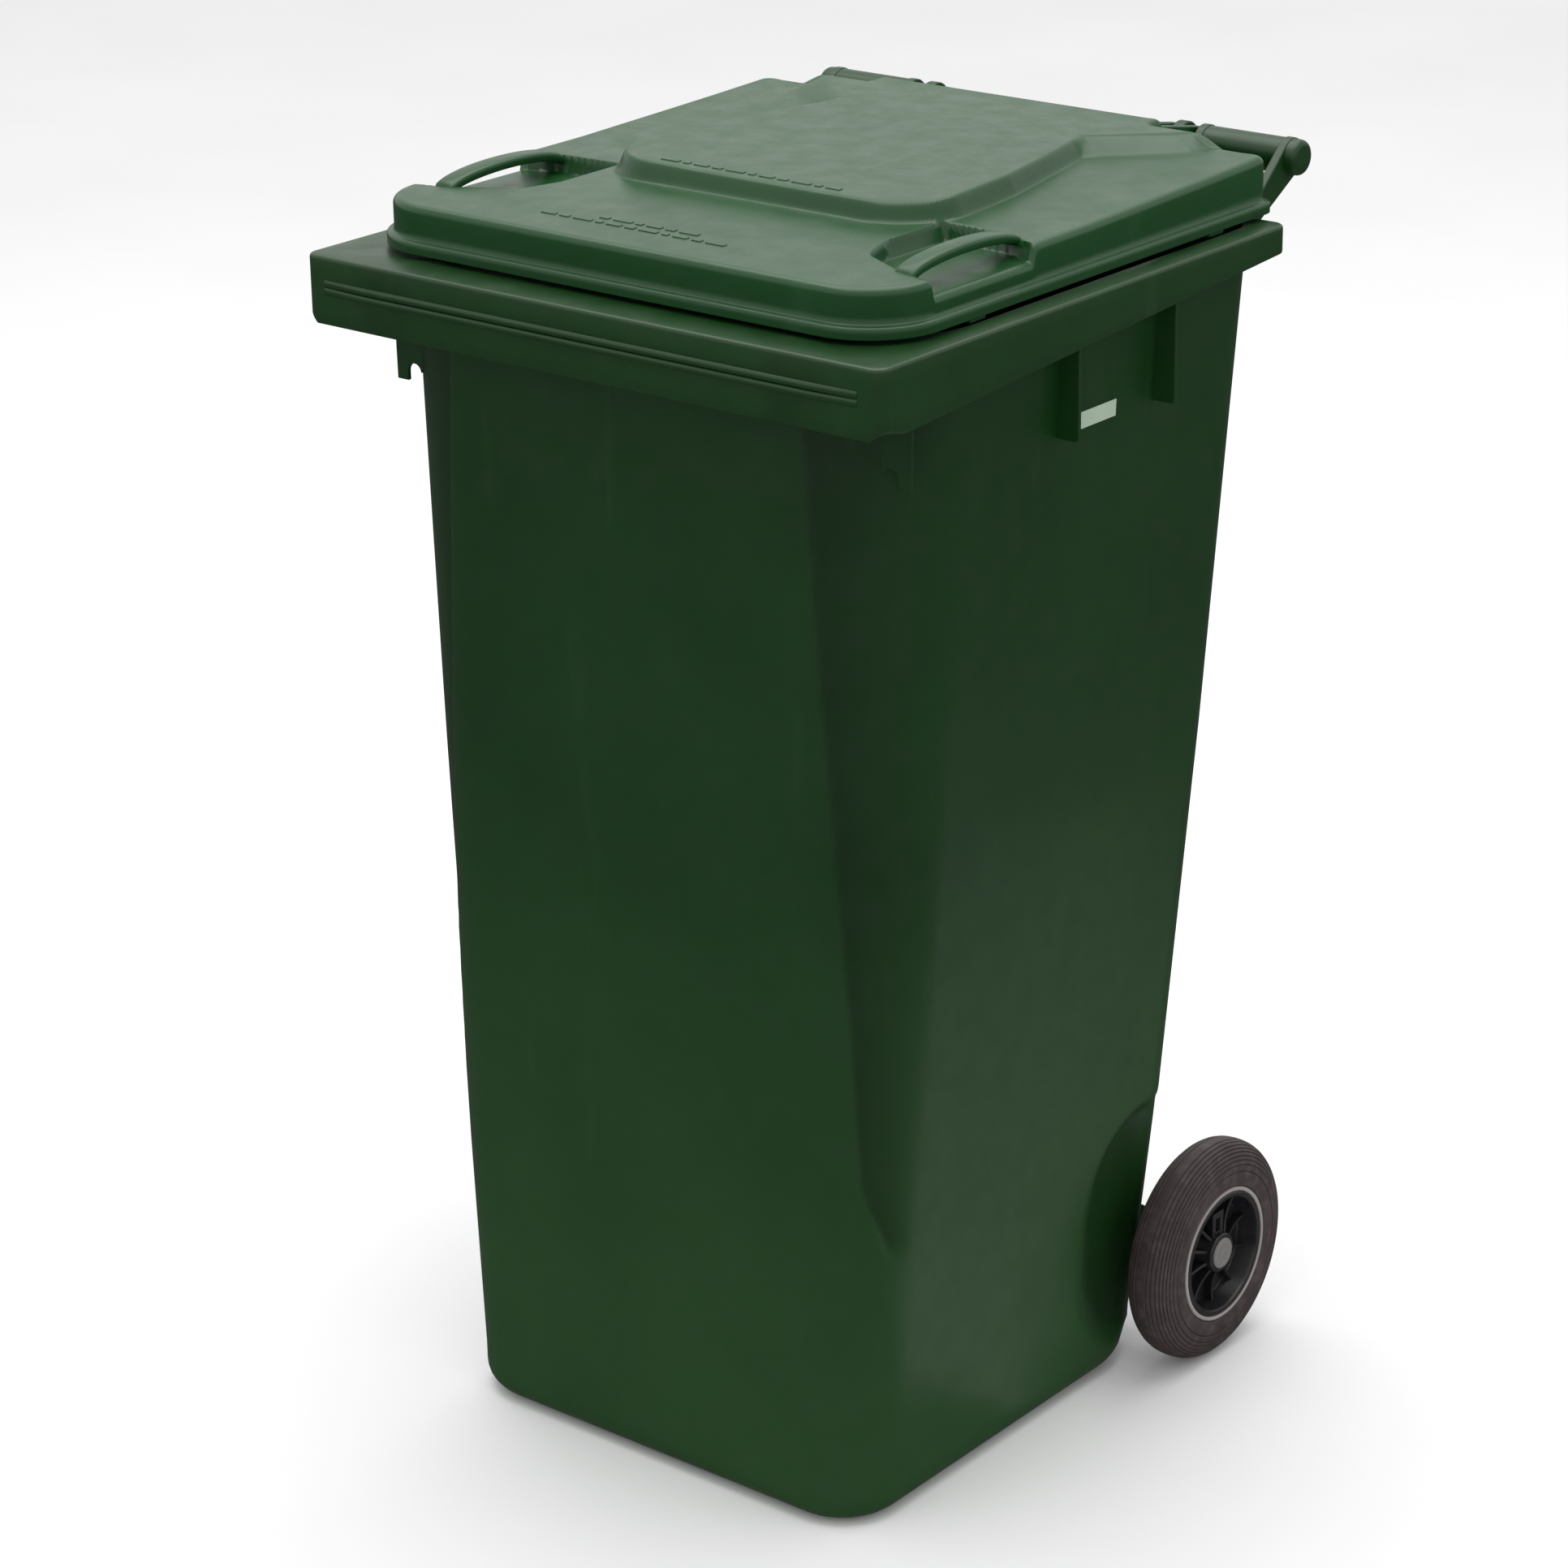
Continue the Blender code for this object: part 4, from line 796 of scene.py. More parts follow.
def side_gusset_outline():
    inner = section(SIDE_GUSSET_BOTTOM, 1) - BODY_WALL / 2
    return (
        (inner, GUSSET_TOP),
        (inner, SIDE_GUSSET_BOTTOM),
        (SIDE_GUSSET_REACH - TRIM_CHAMFER, SIDE_GUSSET_BOTTOM),
        (SIDE_GUSSET_REACH, SIDE_GUSSET_BOTTOM + TRIM_CHAMFER),
        (SIDE_GUSSET_REACH, GUSSET_TOP),
    )


def corner_gusset_outline():
    """Hook-shaped plate under the rim's front corner, with a half-round notch at its foot."""
    root = CORNER_GUSSET_REACH - CORNER_GUSSET_WIDTH
    mouth = CORNER_GUSSET_REACH - CORNER_NOTCH_INSET
    notch = CORNER_GUSSET_BOTTOM + CORNER_NOTCH_RISE
    outline = [(root, TRIM_TOP), (root, CORNER_GUSSET_BOTTOM + CORNER_GUSSET_ROOT_RISE)]
    for step in range(13):
        turn = math.pi * (1 - step / 12)
        x = mouth - CORNER_NOTCH_RADIUS * (1 - math.cos(turn))
        outline.append((x, notch + CORNER_NOTCH_RADIUS * math.sin(turn)))
    outline.append((mouth, CORNER_GUSSET_BOTTOM))
    outline.append((CORNER_GUSSET_REACH - TRIM_CHAMFER, CORNER_GUSSET_BOTTOM))
    return outline + [(CORNER_GUSSET_REACH, TRIM_TOP)]


def bracket_outline():
    root = section(BRACKET_FOOT, 3) - BODY_WALL / 2
    foot, eye = (RIM_LENGTH, BRACKET_FOOT), (HINGE_DEPTH, HINGE_HEIGHT)
    arm = teardrop(BRACKET_SHELF, foot, eye, BRACKET_RADIUS)
    return [(root, BRACKET_ROOT)] + arm + [(root, BRACKET_SHELF[1])]


def axle_lug_outline():
    wall = section(AXLE_HEIGHT, 3) - AXLE_LUG_ROOT
    low, high = ((wall, AXLE_HEIGHT + spread) for spread in AXLE_LUG_SPREAD)
    return teardrop(high, low, (AXLE_DEPTH, AXLE_HEIGHT), AXLE_LUG_RADIUS)


def axle_collar_profile():
    low, high = AXLE_COLLAR
    bore = AXLE_RADIUS + RUNNING_GAP
    outside = [(low, AXLE_COLLAR_RADIUS), (high, AXLE_COLLAR_RADIUS), (high, AXLE_COLLAR_MOUTH)]
    return tidy([(low, bore), (low, AXLE_COLLAR_RADIUS)] + rounded(outside, 0.001) + [(high, bore)])


def make_body():
    def add(name, bm, bevel=0.0, sharp=35.0):
        return piece(name, bm, BODY_LOOK, "bin", ("bin_body",), sharp, bevel)

    mark_hollows(add("body_shell", body_shell(), sharp=50.0).data)
    for index, height in enumerate(BEADS):
        add(f"rim_bead_{index + 1}", rim_bead(height))
    for number, place in enumerate(COMB_RIBS):
        for side in SIDES:
            add(f"comb_rib_{SIDE_NAMES[side]}_{number + 1}", comb_rib(side * place), FINE_BEVEL)
    handle = [(HANDLE_INNER, 0.0), (HANDLE_INNER, HANDLE_RADIUS)]
    handle += [(HANDLE_OUTER, HANDLE_RADIUS), (HANDLE_OUTER, 0.0)]
    for side in SIDES:
        label = SIDE_NAMES[side]
        for number, depth in enumerate(SIDE_GUSSETS):
            bm = gusset(side_gusset_outline(), side, depth)
            add(f"side_gusset_{label}_{number + 1}", bm, FINE_BEVEL)
        bm = gusset(corner_gusset_outline(), side, CORNER_GUSSET_DEPTH)
        add(f"corner_gusset_{label}", bm, FINE_BEVEL)
        add(f"handle_{label}", lathe(rounded(handle, HANDLE_ROUND, 6), HINGE_CENTRE, flip=side))
        for number, span in enumerate((*BRACKETS, LUG)):
            bm = prism(bracket_outline(), "X", *sided(side, *span))
            made = add(f"bracket_{label}_{number + 1}", bm, PLATE_BEVEL)
            if span is LUG:
                bore_through(made, side, span, PIN_RADIUS, HINGE_CENTRE)
        for number, span in enumerate(AXLE_LUGS):
            bm = prism(axle_lug_outline(), "X", *sided(side, *span))
            made = add(f"axle_lug_{label}_{number + 1}", bm, PLATE_BEVEL)
            bore_through(made, side, span, AXLE_RADIUS, AXLE_CENTRE)
        add(f"axle_collar_{label}", lathe(axle_collar_profile(), AXLE_CENTRE, closed=True, flip=side))
    inner, outer = NEST_RADII
    nest = ((NEST_BOTTOM, inner), (NEST_BOTTOM, outer), (TRIM_TOP, outer), (TRIM_TOP, inner))
    add("chip_nest", lathe(nest, (0.0, y_at(NEST_DEPTH), 0.0), "Z", 64, closed=True))


def bore_through(made, side, span, radius, centre):
    """Drills a plate that spans X for a pin or rod, with running clearance."""
    ends = sided(side, span[0] - CUT_MARGIN, span[1] + CUT_MARGIN)
    cut(made, [rod(*ends, radius + RUNNING_GAP, centre)])


def tidy(profile):
    """Drops repeated neighbours from a profile."""
    kept = [tuple(profile[0])]
    for point in profile[1:]:
        if (Vector(point) - Vector(kept[-1])).length > 1e-6:
            kept.append(tuple(point))
    return kept


# ---- Lid ------------------------------------------------------------------------------------
def distances(points):
    """Distance of each point along an open polyline."""
    return np.r_[0.0, np.cumsum(np.linalg.norm(np.diff(points, axis=0), axis=1))]


def polyline(points, spacing):
    """Points spaced evenly along an open polyline."""
    points = np.array(points)
    lengths = distances(points)
    count = max(2, int(round(lengths[-1] / spacing)) + 1)
    at = np.linspace(0.0, lengths[-1], count)
    return np.stack([np.interp(at, lengths, points[:, k]) for k in (0, 1)], 1)


def lid_outline():
    """Right half of the lid's edge, from its front middle, round the wing and the neck."""
    front, rear, side = LID_FRONT, LID_REAR, LID_HALF_WIDTH
    r, s = LID_FRONT_CORNER, LID_REAR_CORNER
    points = [(0.0, front)] + arc((side - r, front + r), r, -90, 0, 24)
    points += arc((side - s, rear - s), s, 0, 90, 16)
    points += arc((NECK_HALF_WIDTH + 0.004, rear + 0.004), 0.004, -90, -180, 6)
    points += arc((NECK_HALF_WIDTH - 0.006, NECK_REAR - 0.006), 0.006, 0, 90, 8)
    points += [(0.0, NECK_REAR)]
    return polyline(points, 0.0021)


def signed_inside(px, py, outline):
    """Distance to a closed outline, positive inside it."""
    a = np.array(outline)
    b = np.roll(a, -1, 0)
    best = np.full(px.shape, 1e9)
    inside = np.zeros(px.shape, bool)
    for (ax, ay), (bx, by) in zip(a, b):
        dx, dy = bx - ax, by - ay
        t = np.clip(((px - ax) * dx + (py - ay) * dy) / (dx * dx + dy * dy + 1e-18), 0.0, 1.0)
        best = np.minimum(best, np.hypot(px - ax - t * dx, py - ay - t * dy))
        crosses = (ay > py) != (by > py)
        slope = np.where(abs(by - ay) > 1e-12, (by - ay), 1e-12)
        inside ^= crosses & (px < ax + (py - ay) * dx / slope)
    return np.where(inside, best, -best)


def dome_outline(level):
    """Outline of the dome's foot (level 0) or top (level 1)."""
    inset = DOME_DRAFT * level
    r = DOME_CORNER - inset
    right = arc((DOME_HALF_WIDTH - DOME_CORNER, DOME_FRONT + DOME_CORNER), r, -90, 0, 20)
    right += [stop[level] for stop in DOME_SIDE]
    return right + [(-x, d) for x, d in reversed(right)]


def grip_outline(radius=0.006):
    outline = []
    for i, here in enumerate(GRIP_OUTLINE):
        after = GRIP_OUTLINE[(i + 1) % len(GRIP_OUTLINE)]
        outline += bend(GRIP_OUTLINE[i - 1], here, after, radius, 4)
    return outline


LID_CROWN = 0.0012
LID_CROWN_RUN = 0.06
DOME_SOFTNESS = 0.0005
GRIP_SOFTNESS = 0.001
GRIP_WALL_RUN = 0.0042
# Skirt from its bottom edge to the step, as (share of the flange, share of the height).
LID_SKIRT = ((1.0, 0.0), (1.0, 0.25), (1.0, 0.48), (0.86, 0.56), (0.5, 0.60), (0.14, 0.635), (0.0, 0.70))
NECK_SKIRT = 0.010
LID_SPINE = (0.300, 0.450)
LID_ROWS = 130


def lid_surface(x, depth):
    """Height of the lid's top, without the rounding of its outer edge."""
    crown = LID_CROWN * (1 - (np.abs(x) / LID_HALF_WIDTH) ** 2) * ease((depth - LID_FRONT) / LID_CROWN_RUN)
    height = stops(LID_EDGE, depth) + crown
    above_foot = signed_inside(x, depth, dome_outline(0)) + DOME_SOFTNESS
    before_top = DOME_SOFTNESS - signed_inside(x, depth, dome_outline(1))
    total = np.maximum(above_foot, 0.0) + np.maximum(before_top, 0.0)
    dome = ramp(np.maximum(above_foot, 0.0) / np.maximum(total, 1e-6))
    height = height + (stops(DOME_TOP, depth) - height) * dome
    into_grip = signed_inside(np.abs(x), depth, grip_outline()) + GRIP_SOFTNESS
    return height + (GRIP_FLOOR - height) * ramp(into_grip / GRIP_WALL_RUN, 0.35)


def under_height(x, depth):
    """Height of the lid's inner skin: a ball of the wall's radius rolled under the top."""
    low = lid_surface(x, depth) - LID_WALL
    for share in (0.5, 0.9):
        drop = LID_WALL * math.sqrt(1.0 - share**2)
        for step in range(8):
            turn = math.pi / 4 * step
            across, along = LID_WALL * share * math.cos(turn), LID_WALL * share * math.sin(turn)
            low = np.minimum(low, lid_surface(x + across, depth + along) - drop)
    return low


def lid_spine(outline, normals):
    """Line that the lid's rows shrink to, and the way in from each edge point towards it."""
    spine = np.stack([np.zeros(len(outline)), np.clip(outline[:, 1], *LID_SPINE)], 1)
    aim = spine - outline
    aim /= np.linalg.norm(aim, axis=1)[:, None]
    aim /= np.maximum((aim * normals).sum(1), 0.36)[:, None]
    turning = ease((outline[:, 1] - 0.500) / 0.025)[:, None]
    return spine, normals * (1.0 - turning) + aim * turning


def lid_shell():
    """Closed skin: skirt, step, rounded edge and top, then the inner side back to the bottom."""
    outline = lid_outline()
    normals = inward(outline)
    normals[0], normals[-1] = (0.0, 1.0), (0.0, -1.0)
    on_neck = ease((outline[:, 1] - (LID_REAR + 0.0005)) / 0.003)
    flange = LID_FLANGE * (1.0 - on_neck)
    bottom = LID_BOTTOM + (NECK_BOTTOM - LID_BOTTOM) * on_neck
    spine, ahead = lid_spine(outline, normals)
    inner = outline + ahead * LID_EDGE_FILLET
    edge = lid_surface(inner[:, 0], inner[:, 1])
    top = edge - LID_EDGE_FILLET
    rows = []
    for out, share in LID_SKIRT:
        rise = (LID_STEP - LID_BOTTOM) * share / LID_SKIRT[-1][1] * (1 - on_neck)
        level = bottom + rise + NECK_SKIRT * share * on_neck
        rows.append((outline - normals * (flange * out)[:, None], np.minimum(level, top)))
    last = rows[-1][1]
    top = np.maximum(top, last)
    for share in (0.25, 0.5, 0.75, 1.0):
        rows.append((outline, last + (top - last) * share))
    for step in range(1, 7):
        turn = math.pi / 2 * step / 6
        plan = outline + ahead * LID_EDGE_FILLET * (1 - math.cos(turn))
        rows.append((plan, top + (edge - top) * math.sin(turn)))
    start = rows[-1][0]
    plans = [start + (spine - start) * (step / LID_ROWS) for step in range(1, LID_ROWS + 1)]
    rows += [(plan, lid_surface(plan[:, 0], plan[:, 1])) for plan in plans]
    rows += [(plan, under_height(plan[:, 0], plan[:, 1])) for plan in reversed(plans)]
    wall = outline + ahead * LID_WALL
    high = under_height(wall[:, 0], wall[:, 1])
    step_height = LID_STEP - LID_WALL + (NECK_BOTTOM + 0.006 - LID_STEP) * on_neck
    step_height = np.minimum(step_height, high - 0.001)
    hem = outline + normals * (LID_WALL * 0.7 - flange)[:, None]
    rows += [(wall, high), (wall, step_height + (high - step_height) * 0.5), (wall, step_height)]
    rows += [(hem, step_height - 0.002 * (1.0 - on_neck)), (hem, bottom)]
    bm = skin([loop(plan, heights) for plan, heights in rows], closed=True)
    seam = [face for face in bm.faces if all(abs(vert.co.x) < 1e-7 for vert in face.verts)]
    bmesh.ops.delete(bm, geom=seam, context="FACES_ONLY")
    bmesh.ops.remove_doubles(bm, verts=bm.verts, dist=0.00002)
    return bm


GRIP_BAR_SQUARENESS = 0.55
GRIP_BAR_ARCH = 0.42
GRIP_BAR_SIDES = 24
GRIP_BAR_STEPS = 40


def squared(value):
    """Bends a sine or cosine so that a circle becomes a rounded square."""
    return math.copysign(abs(value) ** GRIP_BAR_SQUARENESS, value)


def grip_bar(side):
    """Arched bar over a grip pocket, with a rounded section."""
    half = (GRIP_BAR[1] - GRIP_BAR[0]) / 2
    middle = (GRIP_BAR[0] + GRIP_BAR[1]) / 2
    turns = [2 * math.pi * k / GRIP_BAR_SIDES for k in range(GRIP_BAR_SIDES)]
    ring = [(half * squared(math.cos(t)), GRIP_BAR_WALL / 2 * squared(math.sin(t))) for t in turns]
    rows = []
    for step in range(GRIP_BAR_STEPS + 1):
        share = step / GRIP_BAR_STEPS
        y = y_at(GRIP_BAR_SPAN[0] + (GRIP_BAR_SPAN[1] - GRIP_BAR_SPAN[0]) * share)
        rise = (4 * share * (1 - share)) ** GRIP_BAR_ARCH
        height = GRIP_BAR_END + (GRIP_BAR_TOP - GRIP_BAR_END) * rise - GRIP_BAR_WALL / 2
        rows.append([(side * (middle + a), y, height + b) for a, b in ring])
    return skin(rows, capped=True)


def relief_marks():
    """Plain raised dashes where a maker's wording would be."""
    bm = bmesh.new()
    for row, (depth, start, end) in enumerate(MARK_ROWS):
        x, y, index = start, y_at(depth), row
        while x < end:
            length = MARK_LENGTHS[index % len(MARK_LENGTHS)]
            top = float(lid_surface(np.array([x]), np.array([depth]))[0])
            low = (x, y - MARK_HALF_WIDTH, top - 0.001)
            slab(low, (x + length, y + MARK_HALF_WIDTH, top + MARK_RISE), bm)
            x += length + MARK_GAP
            index += 1
    return bm


def make_lid():
    def add(name, bm, bevel=0.0, sharp=35.0):
        return piece(name, bm, LID_LOOK, "lid", ("lid",), sharp, bevel)

    add("lid_shell", lid_shell(), sharp=60.0)
    add("lid_marks", relief_marks(), 0.0004)
    top = (NECK_REAR - EAR_TOP_ROOT[0], float(stops(DOME_TOP, NECK_REAR)) - EAR_TOP_ROOT[1])
    foot = (NECK_REAR - EAR_FOOT_ROOT[0], NECK_BOTTOM + EAR_FOOT_ROOT[1])
    outline = teardrop(top, foot, (HINGE_DEPTH, HINGE_HEIGHT), EAR_RADIUS)
    half_x, half_y = REST_PAD_HALF
    for side in SIDES:
        label = SIDE_NAMES[side]
        add(f"grip_bar_{label}", grip_bar(side), sharp=60.0)
        for number, span in enumerate(EARS):
            bm = prism(outline, "X", *sided(side, *span))
            made = add(f"hinge_ear_{label}_{number + 1}", bm, PLATE_BEVEL)
            bore_through(made, side, span, PIN_RADIUS, HINGE_CENTRE)
        for number, depth in enumerate(REST_PADS):
            x, y = side * (LID_HALF_WIDTH + 0.001), y_at(depth)
            low = (x - half_x, y - half_y, REST_PAD_BOTTOM)
            bm = slab(low, (x + half_x, y + half_y, LID_BOTTOM + 0.002))
            add(f"rest_pad_{label}_{number + 1}", bm, FINE_BEVEL)


# ---- Wheels ---------------------------------------------------------------------------------
# Outside of half a tyre without its grooves, as (distance from the middle plane, radius).
TYRE_SHOULDER = (
    (0.0222, 0.0660),
    (WHEEL_HALF_WIDTH, 0.0700),
    (WHEEL_HALF_WIDTH, 0.0770),
    (0.0221, 0.0805),
    (0.0211, 0.0845),
    (0.0196, 0.0888),
    (0.0175, 0.0925),
    (0.0146, 0.0957),
    (0.0110, 0.0980),
    (0.0070, 0.0994),
    (0.0030, 0.0999),
    (0.0, WHEEL_RADIUS),
)
# Grooves as distances along that line.
TYRE_GROOVES = (0.0090, 0.0150, 0.0190, 0.0228, 0.0264, 0.0298, 0.0334, 0.0376, 0.0420)
TYRE_GROOVE_DEPTH = 0.0012
TYRE_GROOVE_HALF = 0.0007


def tyre_profile():
    edge = WHEEL_HALF_WIDTH
    half = [(edge - 0.0020, RING_RADIUS + 0.0008), (edge - 0.0020, RING_RADIUS + 0.0040)]
    half += [(edge - 0.0006, RING_RADIUS + 0.0052)]
    points = np.array(TYRE_SHOULDER)
    along = distances(points)
    stations = set(np.linspace(0.0, along[-1] - 0.0008, 28))
    for groove in TYRE_GROOVES:
        stations = {at for at in stations if abs(at - groove) > 1.6 * TYRE_GROOVE_HALF}
        stations |= {groove + TYRE_GROOVE_HALF * k for k in (-1.0, -0.5, 0.5, 1.0)}
    for at in sorted(stations):
        place, radius = (float(np.interp(at, along, points[:, k])) for k in (0, 1))
        ahead = np.array([np.interp(at + 0.001, along, points[:, k]) for k in (0, 1)]) - (place, radius)
        ahead /= max(1e-9, float(np.linalg.norm(ahead)))
        deep = any(abs(at - groove) < 0.6 * TYRE_GROOVE_HALF for groove in TYRE_GROOVES)
        drop = TYRE_GROOVE_DEPTH if deep else 0.0
        half.append((place - drop * float(ahead[1]), radius + drop * float(ahead[0])))
    return half + [(-place, radius) for place, radius in reversed(half)]


def hub_profile():
    edge = WHEEL_HALF_WIDTH
    barrel = RING_RADIUS - 0.006
    return [
        (HUB_OUTER_END, CAP_RADIUS + RUNNING_GAP),
        (HUB_OUTER_END, HUB_BOSS_RADIUS - 0.001),
        (HUB_OUTER_END - 0.001, HUB_BOSS_RADIUS),
        (0.0045, HUB_BOSS_RADIUS + 0.001),
        (0.0026, HUB_BOSS_RADIUS + 0.0025),
        (0.0020, HUB_BOSS_RADIUS + 0.0045),
        (0.0020, barrel - 0.0060),
        (0.0026, barrel - 0.0035),
        (0.0045, barrel - 0.0022),
        (edge - 0.0030, barrel - 0.0002),
        (edge - 0.0010, barrel + 0.0006),
        (edge - 0.0004, barrel + 0.0016),
        (edge - 0.0004, RING_RADIUS - 0.0016),
        (edge - 0.0014, RING_RADIUS - 0.0004),
        (edge - 0.0030, RING_RADIUS),
        (-edge + 0.0017, RING_RADIUS),
        (-edge + 0.0017, RING_RADIUS + 0.0018),
        (-edge + 0.0001, RING_RADIUS + 0.0010),
        (-edge + 0.0001, barrel),
        (-0.0030, barrel - 0.002),
        (-0.0030, HUB_BOSS_RADIUS + 0.001),
        (HUB_INNER_END, HUB_BOSS_RADIUS - 0.002),
        (HUB_INNER_END, AXLE_RADIUS + RUNNING_GAP),
        (CAP_SEAT, AXLE_RADIUS + RUNNING_GAP),
        (CAP_SEAT, CAP_RADIUS + RUNNING_GAP),
    ]


def hub_rib(turn, centre, side):
    """Radial rib on the web's outer side, lower towards the barrel."""
    low, high = HUB_BOSS_RADIUS - 0.001, RING_RADIUS - 0.005
    outline = []
    for step in range(9):
        share = step / 8
        sag = RIB_SAG * math.sin(math.pi * share)
        outline.append((RIB_TOP - RIB_FALL * share - sag, low + (high - low) * share))
    outline += [(-0.001, high), (-0.001, low)]
    rings = [[(side * a, y, b) for a, b in outline] for y in (-RIB_HALF_WALL, RIB_HALF_WALL)]
    bm = skin(rings, capped=True)
    bmesh.ops.transform(bm, matrix=Matrix.Rotation(turn, 4, "X"), verts=bm.verts)
    bmesh.ops.translate(bm, vec=centre, verts=bm.verts)
    return bm


def rim_ring_profile():
    """Pale half-round lip where the hub meets the tyre."""
    seat, radius = WHEEL_HALF_WIDTH - RIM_LIP_SEAT, RIM_LIP_HEIGHT / 2
    lip = [(seat, RING_RADIUS + 0.0001)]
    for step in range(9):
        turn = math.pi * step / 8
        place = seat + 0.0010 + RIM_LIP_REACH * math.sin(turn)
        lip.append((place, RING_RADIUS + radius - radius * math.cos(turn)))
    return lip + [(seat, RING_RADIUS + RIM_LIP_HEIGHT)]


def cap_profile():
    """Cap with a shallow ring pressed into its face."""
    profile = [(CAP_SEAT + 0.0004, 0.0), (CAP_SEAT + 0.0004, CAP_RADIUS - 0.0005)]
    profile += [(HUB_OUTER_END + rise, CAP_RADIUS - inset) for rise, inset in CAP_FACE]
    return profile + [(HUB_OUTER_END + CAP_FACE[-1][0], 0.0)]


def make_wheel(side):
    label = SIDE_NAMES[side]
    body = "wheel_" + label
    centre = Vector((side * WHEEL_CENTRE, y_at(AXLE_DEPTH), AXLE_HEIGHT))

    def add(name, bm, look, slot, nodes, sharp=35.0, bevel=0.0):
        return piece(f"{name}_{label}", bm, look, body, nodes, sharp, bevel)

    tyre = lathe(tyre_profile(), centre, steps=160, closed=True, flip=side)
    add("tread", tyre, TYRE_LOOK, "tyre_rubber", ("tyre_" + label,), 40.0)
    hub_node = ("wheel_hub_" + label,)
    bm = lathe(hub_profile(), centre, steps=120, closed=True, flip=side)
    hub = add("hub", bm, HUB_LOOK, "hub_black", hub_node)
    half_x, half_y, top = TOWER
    low = centre + Vector((side * LATCH_X - half_x, -half_y, HUB_BOSS_RADIUS - 0.004))
    high = centre + Vector((side * LATCH_X + half_x, half_y, top))
    tower = add("latch_tower", slab(low, high), HUB_LOOK, "hub_black", hub_node)
    latch = centre + Vector((side * LATCH_X, 0.0, 0.0))
    bores = [
        rod(*CHAMBER, CHAMBER_RADIUS, latch, "Z"),
        rod(0.005, CHAMBER[0] + 0.002, LATCH_RADIUS + RUNNING_GAP, latch, "Z"),
    ]
    ends = sorted((latch.x, latch.x + side * WINDOW_REACH))
    low = (ends[0], latch.y - WINDOW_HALF_WIDTH, latch.z + WINDOW[0])
    bores.append(slab(low, (ends[1], latch.y + WINDOW_HALF_WIDTH, latch.z + WINDOW[1])))
    cut(tower, bores)
    cut(hub, [rod(0.005, 0.030, CHAMBER_RADIUS, latch, "Z")])
    for k in range(1, HUB_RIBS):
        rib = hub_rib(2 * math.pi * k / HUB_RIBS, centre, side)
        add(f"hub_rib_{k}", rib, HUB_LOOK, "hub_black", hub_node, bevel=0.0005)
    bm = lathe(rim_ring_profile(), centre, steps=120, closed=True, flip=side)
    add("rim_ring", bm, RIM_RING_LOOK, "cap_grey", hub_node, 60.0)
    bm = lathe(cap_profile(), centre, steps=72, flip=side)
    add("axle_cap", bm, CAP_LOOK, "cap_grey", ("hub_cap_" + label,), 40.0)


# ---- Axle, pins and small fittings ------------------------------------------------------------
# Hinge pin from its headed end, as (place along X, radius).
PIN_PROFILE = (
    (0.1085, 0.0),
    (0.1085, 0.0025),
    (0.1092, 0.0030),
    (0.1092, 0.0055),
    (0.1085, 0.0062),
    (0.1090, 0.0072),
    (0.1105, 0.0080),
    (0.1155, 0.0080),
    (0.1155, PIN_RADIUS),
    (0.1665, PIN_RADIUS),
    (0.1700, 0.0032),
    (0.1700, 0.0),
)


def axle_profile():
    """Rod with a latch groove and a chamfer at each end."""
    groove = WHEEL_CENTRE + LATCH_X
    half = [
        (groove - GROOVE_HALF_WIDTH, AXLE_RADIUS),
        (groove - GROOVE_HALF_WIDTH + 0.0003, GROOVE_RADIUS),
        (groove + GROOVE_HALF_WIDTH - 0.0003, GROOVE_RADIUS),
        (groove + GROOVE_HALF_WIDTH, AXLE_RADIUS - 0.0005),
        (AXLE_END, AXLE_RADIUS - 0.0015),
        (AXLE_END, 0.0),
    ]
    return [(-place, radius) for place, radius in reversed(half)] + half


def washer_profile():
    low, high = WASHER
    bore, edge, chamfer = AXLE_RADIUS + RUNNING_GAP, WASHER_RADIUS, 0.0005
    ring = [(low, bore), (high, bore), (high, edge - chamfer), (high - chamfer, edge)]
    return ring + [(low + chamfer, edge), (low, edge - chamfer)]


def make_fittings():
    piece("axle_rod", lathe(axle_profile(), AXLE_CENTRE), ZINC_LOOK, "bin", ("axle",))
    for side in SIDES:
        label = SIDE_NAMES[side]
        bm = lathe(PIN_PROFILE, HINGE_CENTRE, steps=48, flip=side)
        piece(f"pin_{label}", bm, NYLON_LOOK, "bin", ("hinge_pin_" + label,))
        bm = lathe(washer_profile(), AXLE_CENTRE, steps=72, closed=True, flip=side)
        piece(f"washer_{label}", bm, NYLON_LOOK, "bin", ("axle_washer_" + label,))
    wall = float(section(PLATE_HEIGHT, 1))
    lean = math.atan2(float(section(1.0, 1) - section(0.9, 1)), 0.1)
    half = [value / 2 for value in PLATE_SIZE]
    bm = slab((-half[0], -half[1], -half[2]), half)
    bmesh.ops.transform(bm, matrix=Matrix.Rotation(lean, 4, "Y"), verts=bm.verts)
    place = Vector((wall + half[0] + RUNNING_GAP, y_at(PLATE_DEPTH), PLATE_HEIGHT))
    bmesh.ops.translate(bm, vec=place, verts=bm.verts)
    piece("marking", bm, PLATE_LOOK, "bin", ("marking_plate",), bevel=0.0004)
    looks = {"transponder": NYLON_LOOK, "transponder_plug": LID_LOOK}
    for label in SIDE_NAMES.values():
        looks["latch_pin_" + label] = ZINC_LOOK
        looks["latch_spring_" + label] = SPRING_LOOK
    for node, look in looks.items():
        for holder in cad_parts[node].material_slots:
            holder.material = look


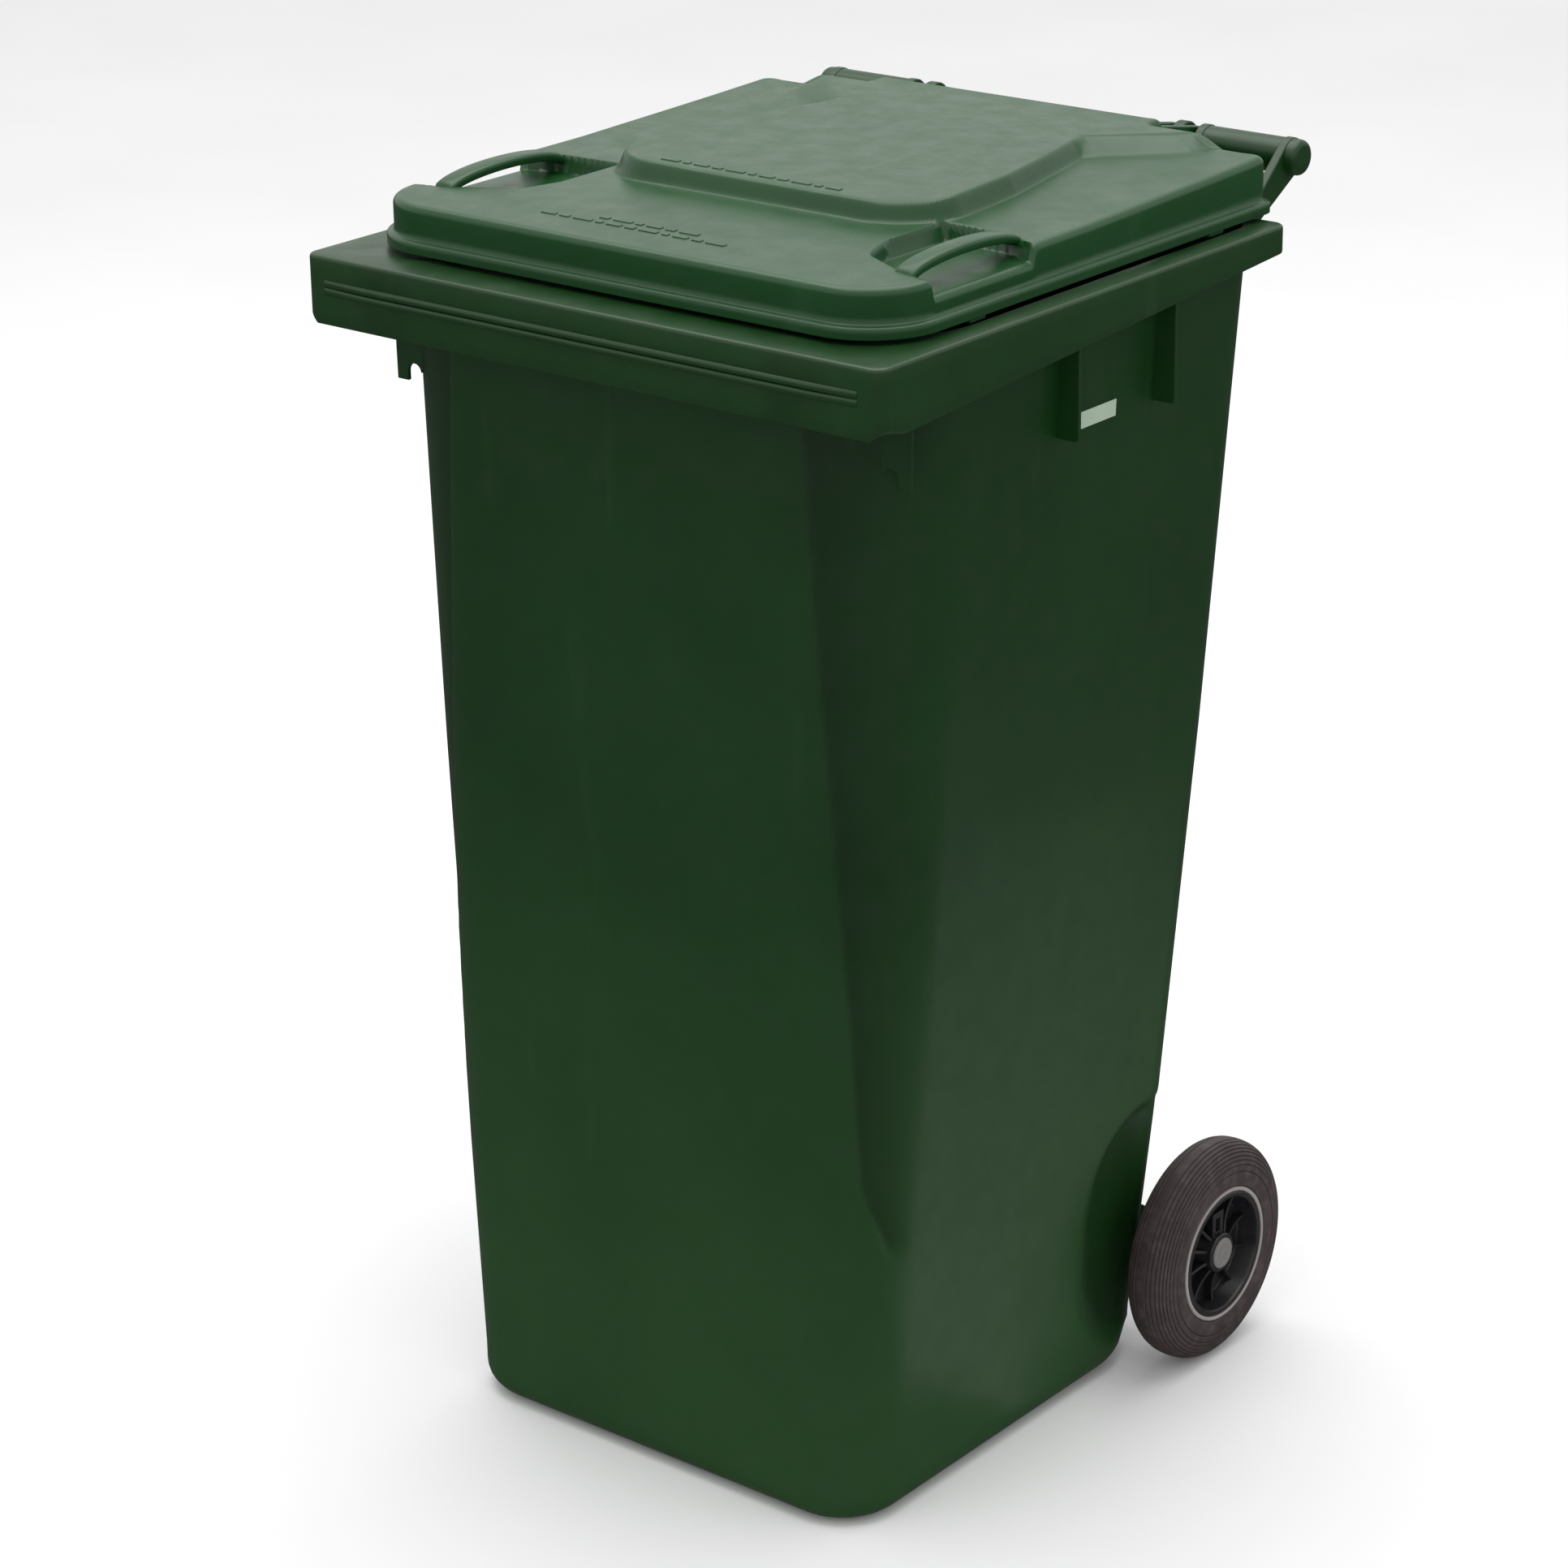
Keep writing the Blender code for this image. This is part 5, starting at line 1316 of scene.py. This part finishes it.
# ---- Studio ---------------------------------------------------------------------------------
CAMERA_PLACE = (2.1437, -2.7129, 1.8808)
CAMERA_YAW = 0.6828
CAMERA_PITCH = 0.3714
CAMERA_ROLL = -0.0137
CAMERA_LENS = 100.33
SENSOR = 36.0


def make_camera():
    level = Vector((math.cos(CAMERA_YAW), math.sin(CAMERA_YAW), 0.0))
    ahead = Vector((-level.y, level.x, 0.0)) * math.cos(CAMERA_PITCH)
    ahead.z = -math.sin(CAMERA_PITCH)
    up = level.cross(ahead)
    c, s = math.cos(CAMERA_ROLL), math.sin(CAMERA_ROLL)
    across, upward = level * c + up * s, up * c - level * s
    data = bpy.data.cameras.new("camera")
    data.lens = CAMERA_LENS
    data.sensor_width = SENSOR
    data.clip_end = 60.0
    camera = bpy.data.objects.new("camera", data)
    turn = Matrix((across, upward, -ahead)).transposed().to_4x4()
    camera.matrix_world = Matrix.Translation(CAMERA_PLACE) @ turn
    bpy.context.scene.collection.objects.link(camera)
    bpy.context.scene.camera = camera
    bpy.context.scene.view_settings.view_transform = "Standard"


def area_light(name, place, target, size, power):
    data = bpy.data.lights.new(name, "AREA")
    data.shape = "RECTANGLE"
    data.size, data.size_y = size
    data.energy = power
    made = bpy.data.objects.new(name, data)
    made.location = place
    made.rotation_mode = "QUATERNION"
    made.rotation_quaternion = (Vector(target) - Vector(place)).to_track_quat("-Z", "Y")
    bpy.context.scene.collection.objects.link(made)
    return made


# World brightness by the height that a ray points to, from level (0) to straight up (1).
WORLD_LEVELS = ((0.0, 0.10), (0.06, 0.97), (0.45, 0.97), (1.0, 1.0))
WORLD_STRENGTH = 0.88
FLOOR_HALF_SIZE = 30.0
KEY_PLACE = (-0.3, 0.3, 3.8)
KEY_TARGET = (0.0, 0.0, 1.0)
KEY_SIZE = (3.6, 3.6)
KEY_POWER = 90.0
# Card that lies on the floor by the right wall, seen only as a soft gleam low on that wall.
GLOW_PLACE = (0.66, 0.46, 0.002)
GLOW_SIZE = (0.38, 1.20)
GLOW_POWER = 0.40
GLOW_TURN = -0.42


def make_floor():
    f = Finish("studio_floor")
    tone = f.blend(f.span(f.noise(2.0, 4.0), 0.3, 0.7), (0.93, 0.93, 0.93), (0.96, 0.96, 0.96))
    f.bumps(f.node("ShaderNodeNewGeometry").outputs["Normal"], (f.noise(40.0, 3.0), 0.04, 0.001))
    look = f.done(Base_Color=tone, Roughness=0.9)
    bm = bmesh.new()
    bmesh.ops.create_grid(bm, x_segments=8, y_segments=8, size=FLOOR_HALF_SIZE)
    floor = put("floor", bm)
    floor.data.materials.append(look)
    floor.visible_glossy = False


def make_world():
    world = bpy.data.worlds.new("studio_world")
    world.use_nodes = True
    nodes, links = world.node_tree.nodes, world.node_tree.links
    parts = nodes.new("ShaderNodeSeparateXYZ")
    links.new(nodes.new("ShaderNodeTexCoord").outputs["Generated"], parts.inputs["Vector"])
    levels = nodes.new("ShaderNodeValToRGB")
    links.new(parts.outputs["Z"], levels.inputs["Fac"])
    elements = levels.color_ramp.elements
    for index, (place, level) in enumerate(WORLD_LEVELS):
        stop = elements[index] if index < 2 else elements.new(place)
        stop.position = place
        stop.color = (level, level, level, 1.0)
    background = nodes["Background"]
    links.new(levels.outputs["Color"], background.inputs["Color"])
    background.inputs["Strength"].default_value = WORLD_STRENGTH
    bpy.context.scene.world = world


def make_studio():
    make_floor()
    make_world()
    area_light("key", KEY_PLACE, KEY_TARGET, KEY_SIZE, KEY_POWER)
    above = (GLOW_PLACE[0], GLOW_PLACE[1], 1.0)
    card = area_light("floor_glow", GLOW_PLACE, above, GLOW_SIZE, GLOW_POWER)
    card.rotation_quaternion = Quaternion((0, 0, 1), GLOW_TURN) @ card.rotation_quaternion
    card.data.diffuse_factor = 0.0
    card.visible_camera = False


make_body()
make_lid()
for wheel_side in SIDES:
    make_wheel(wheel_side)
make_fittings()
make_studio()
make_camera()
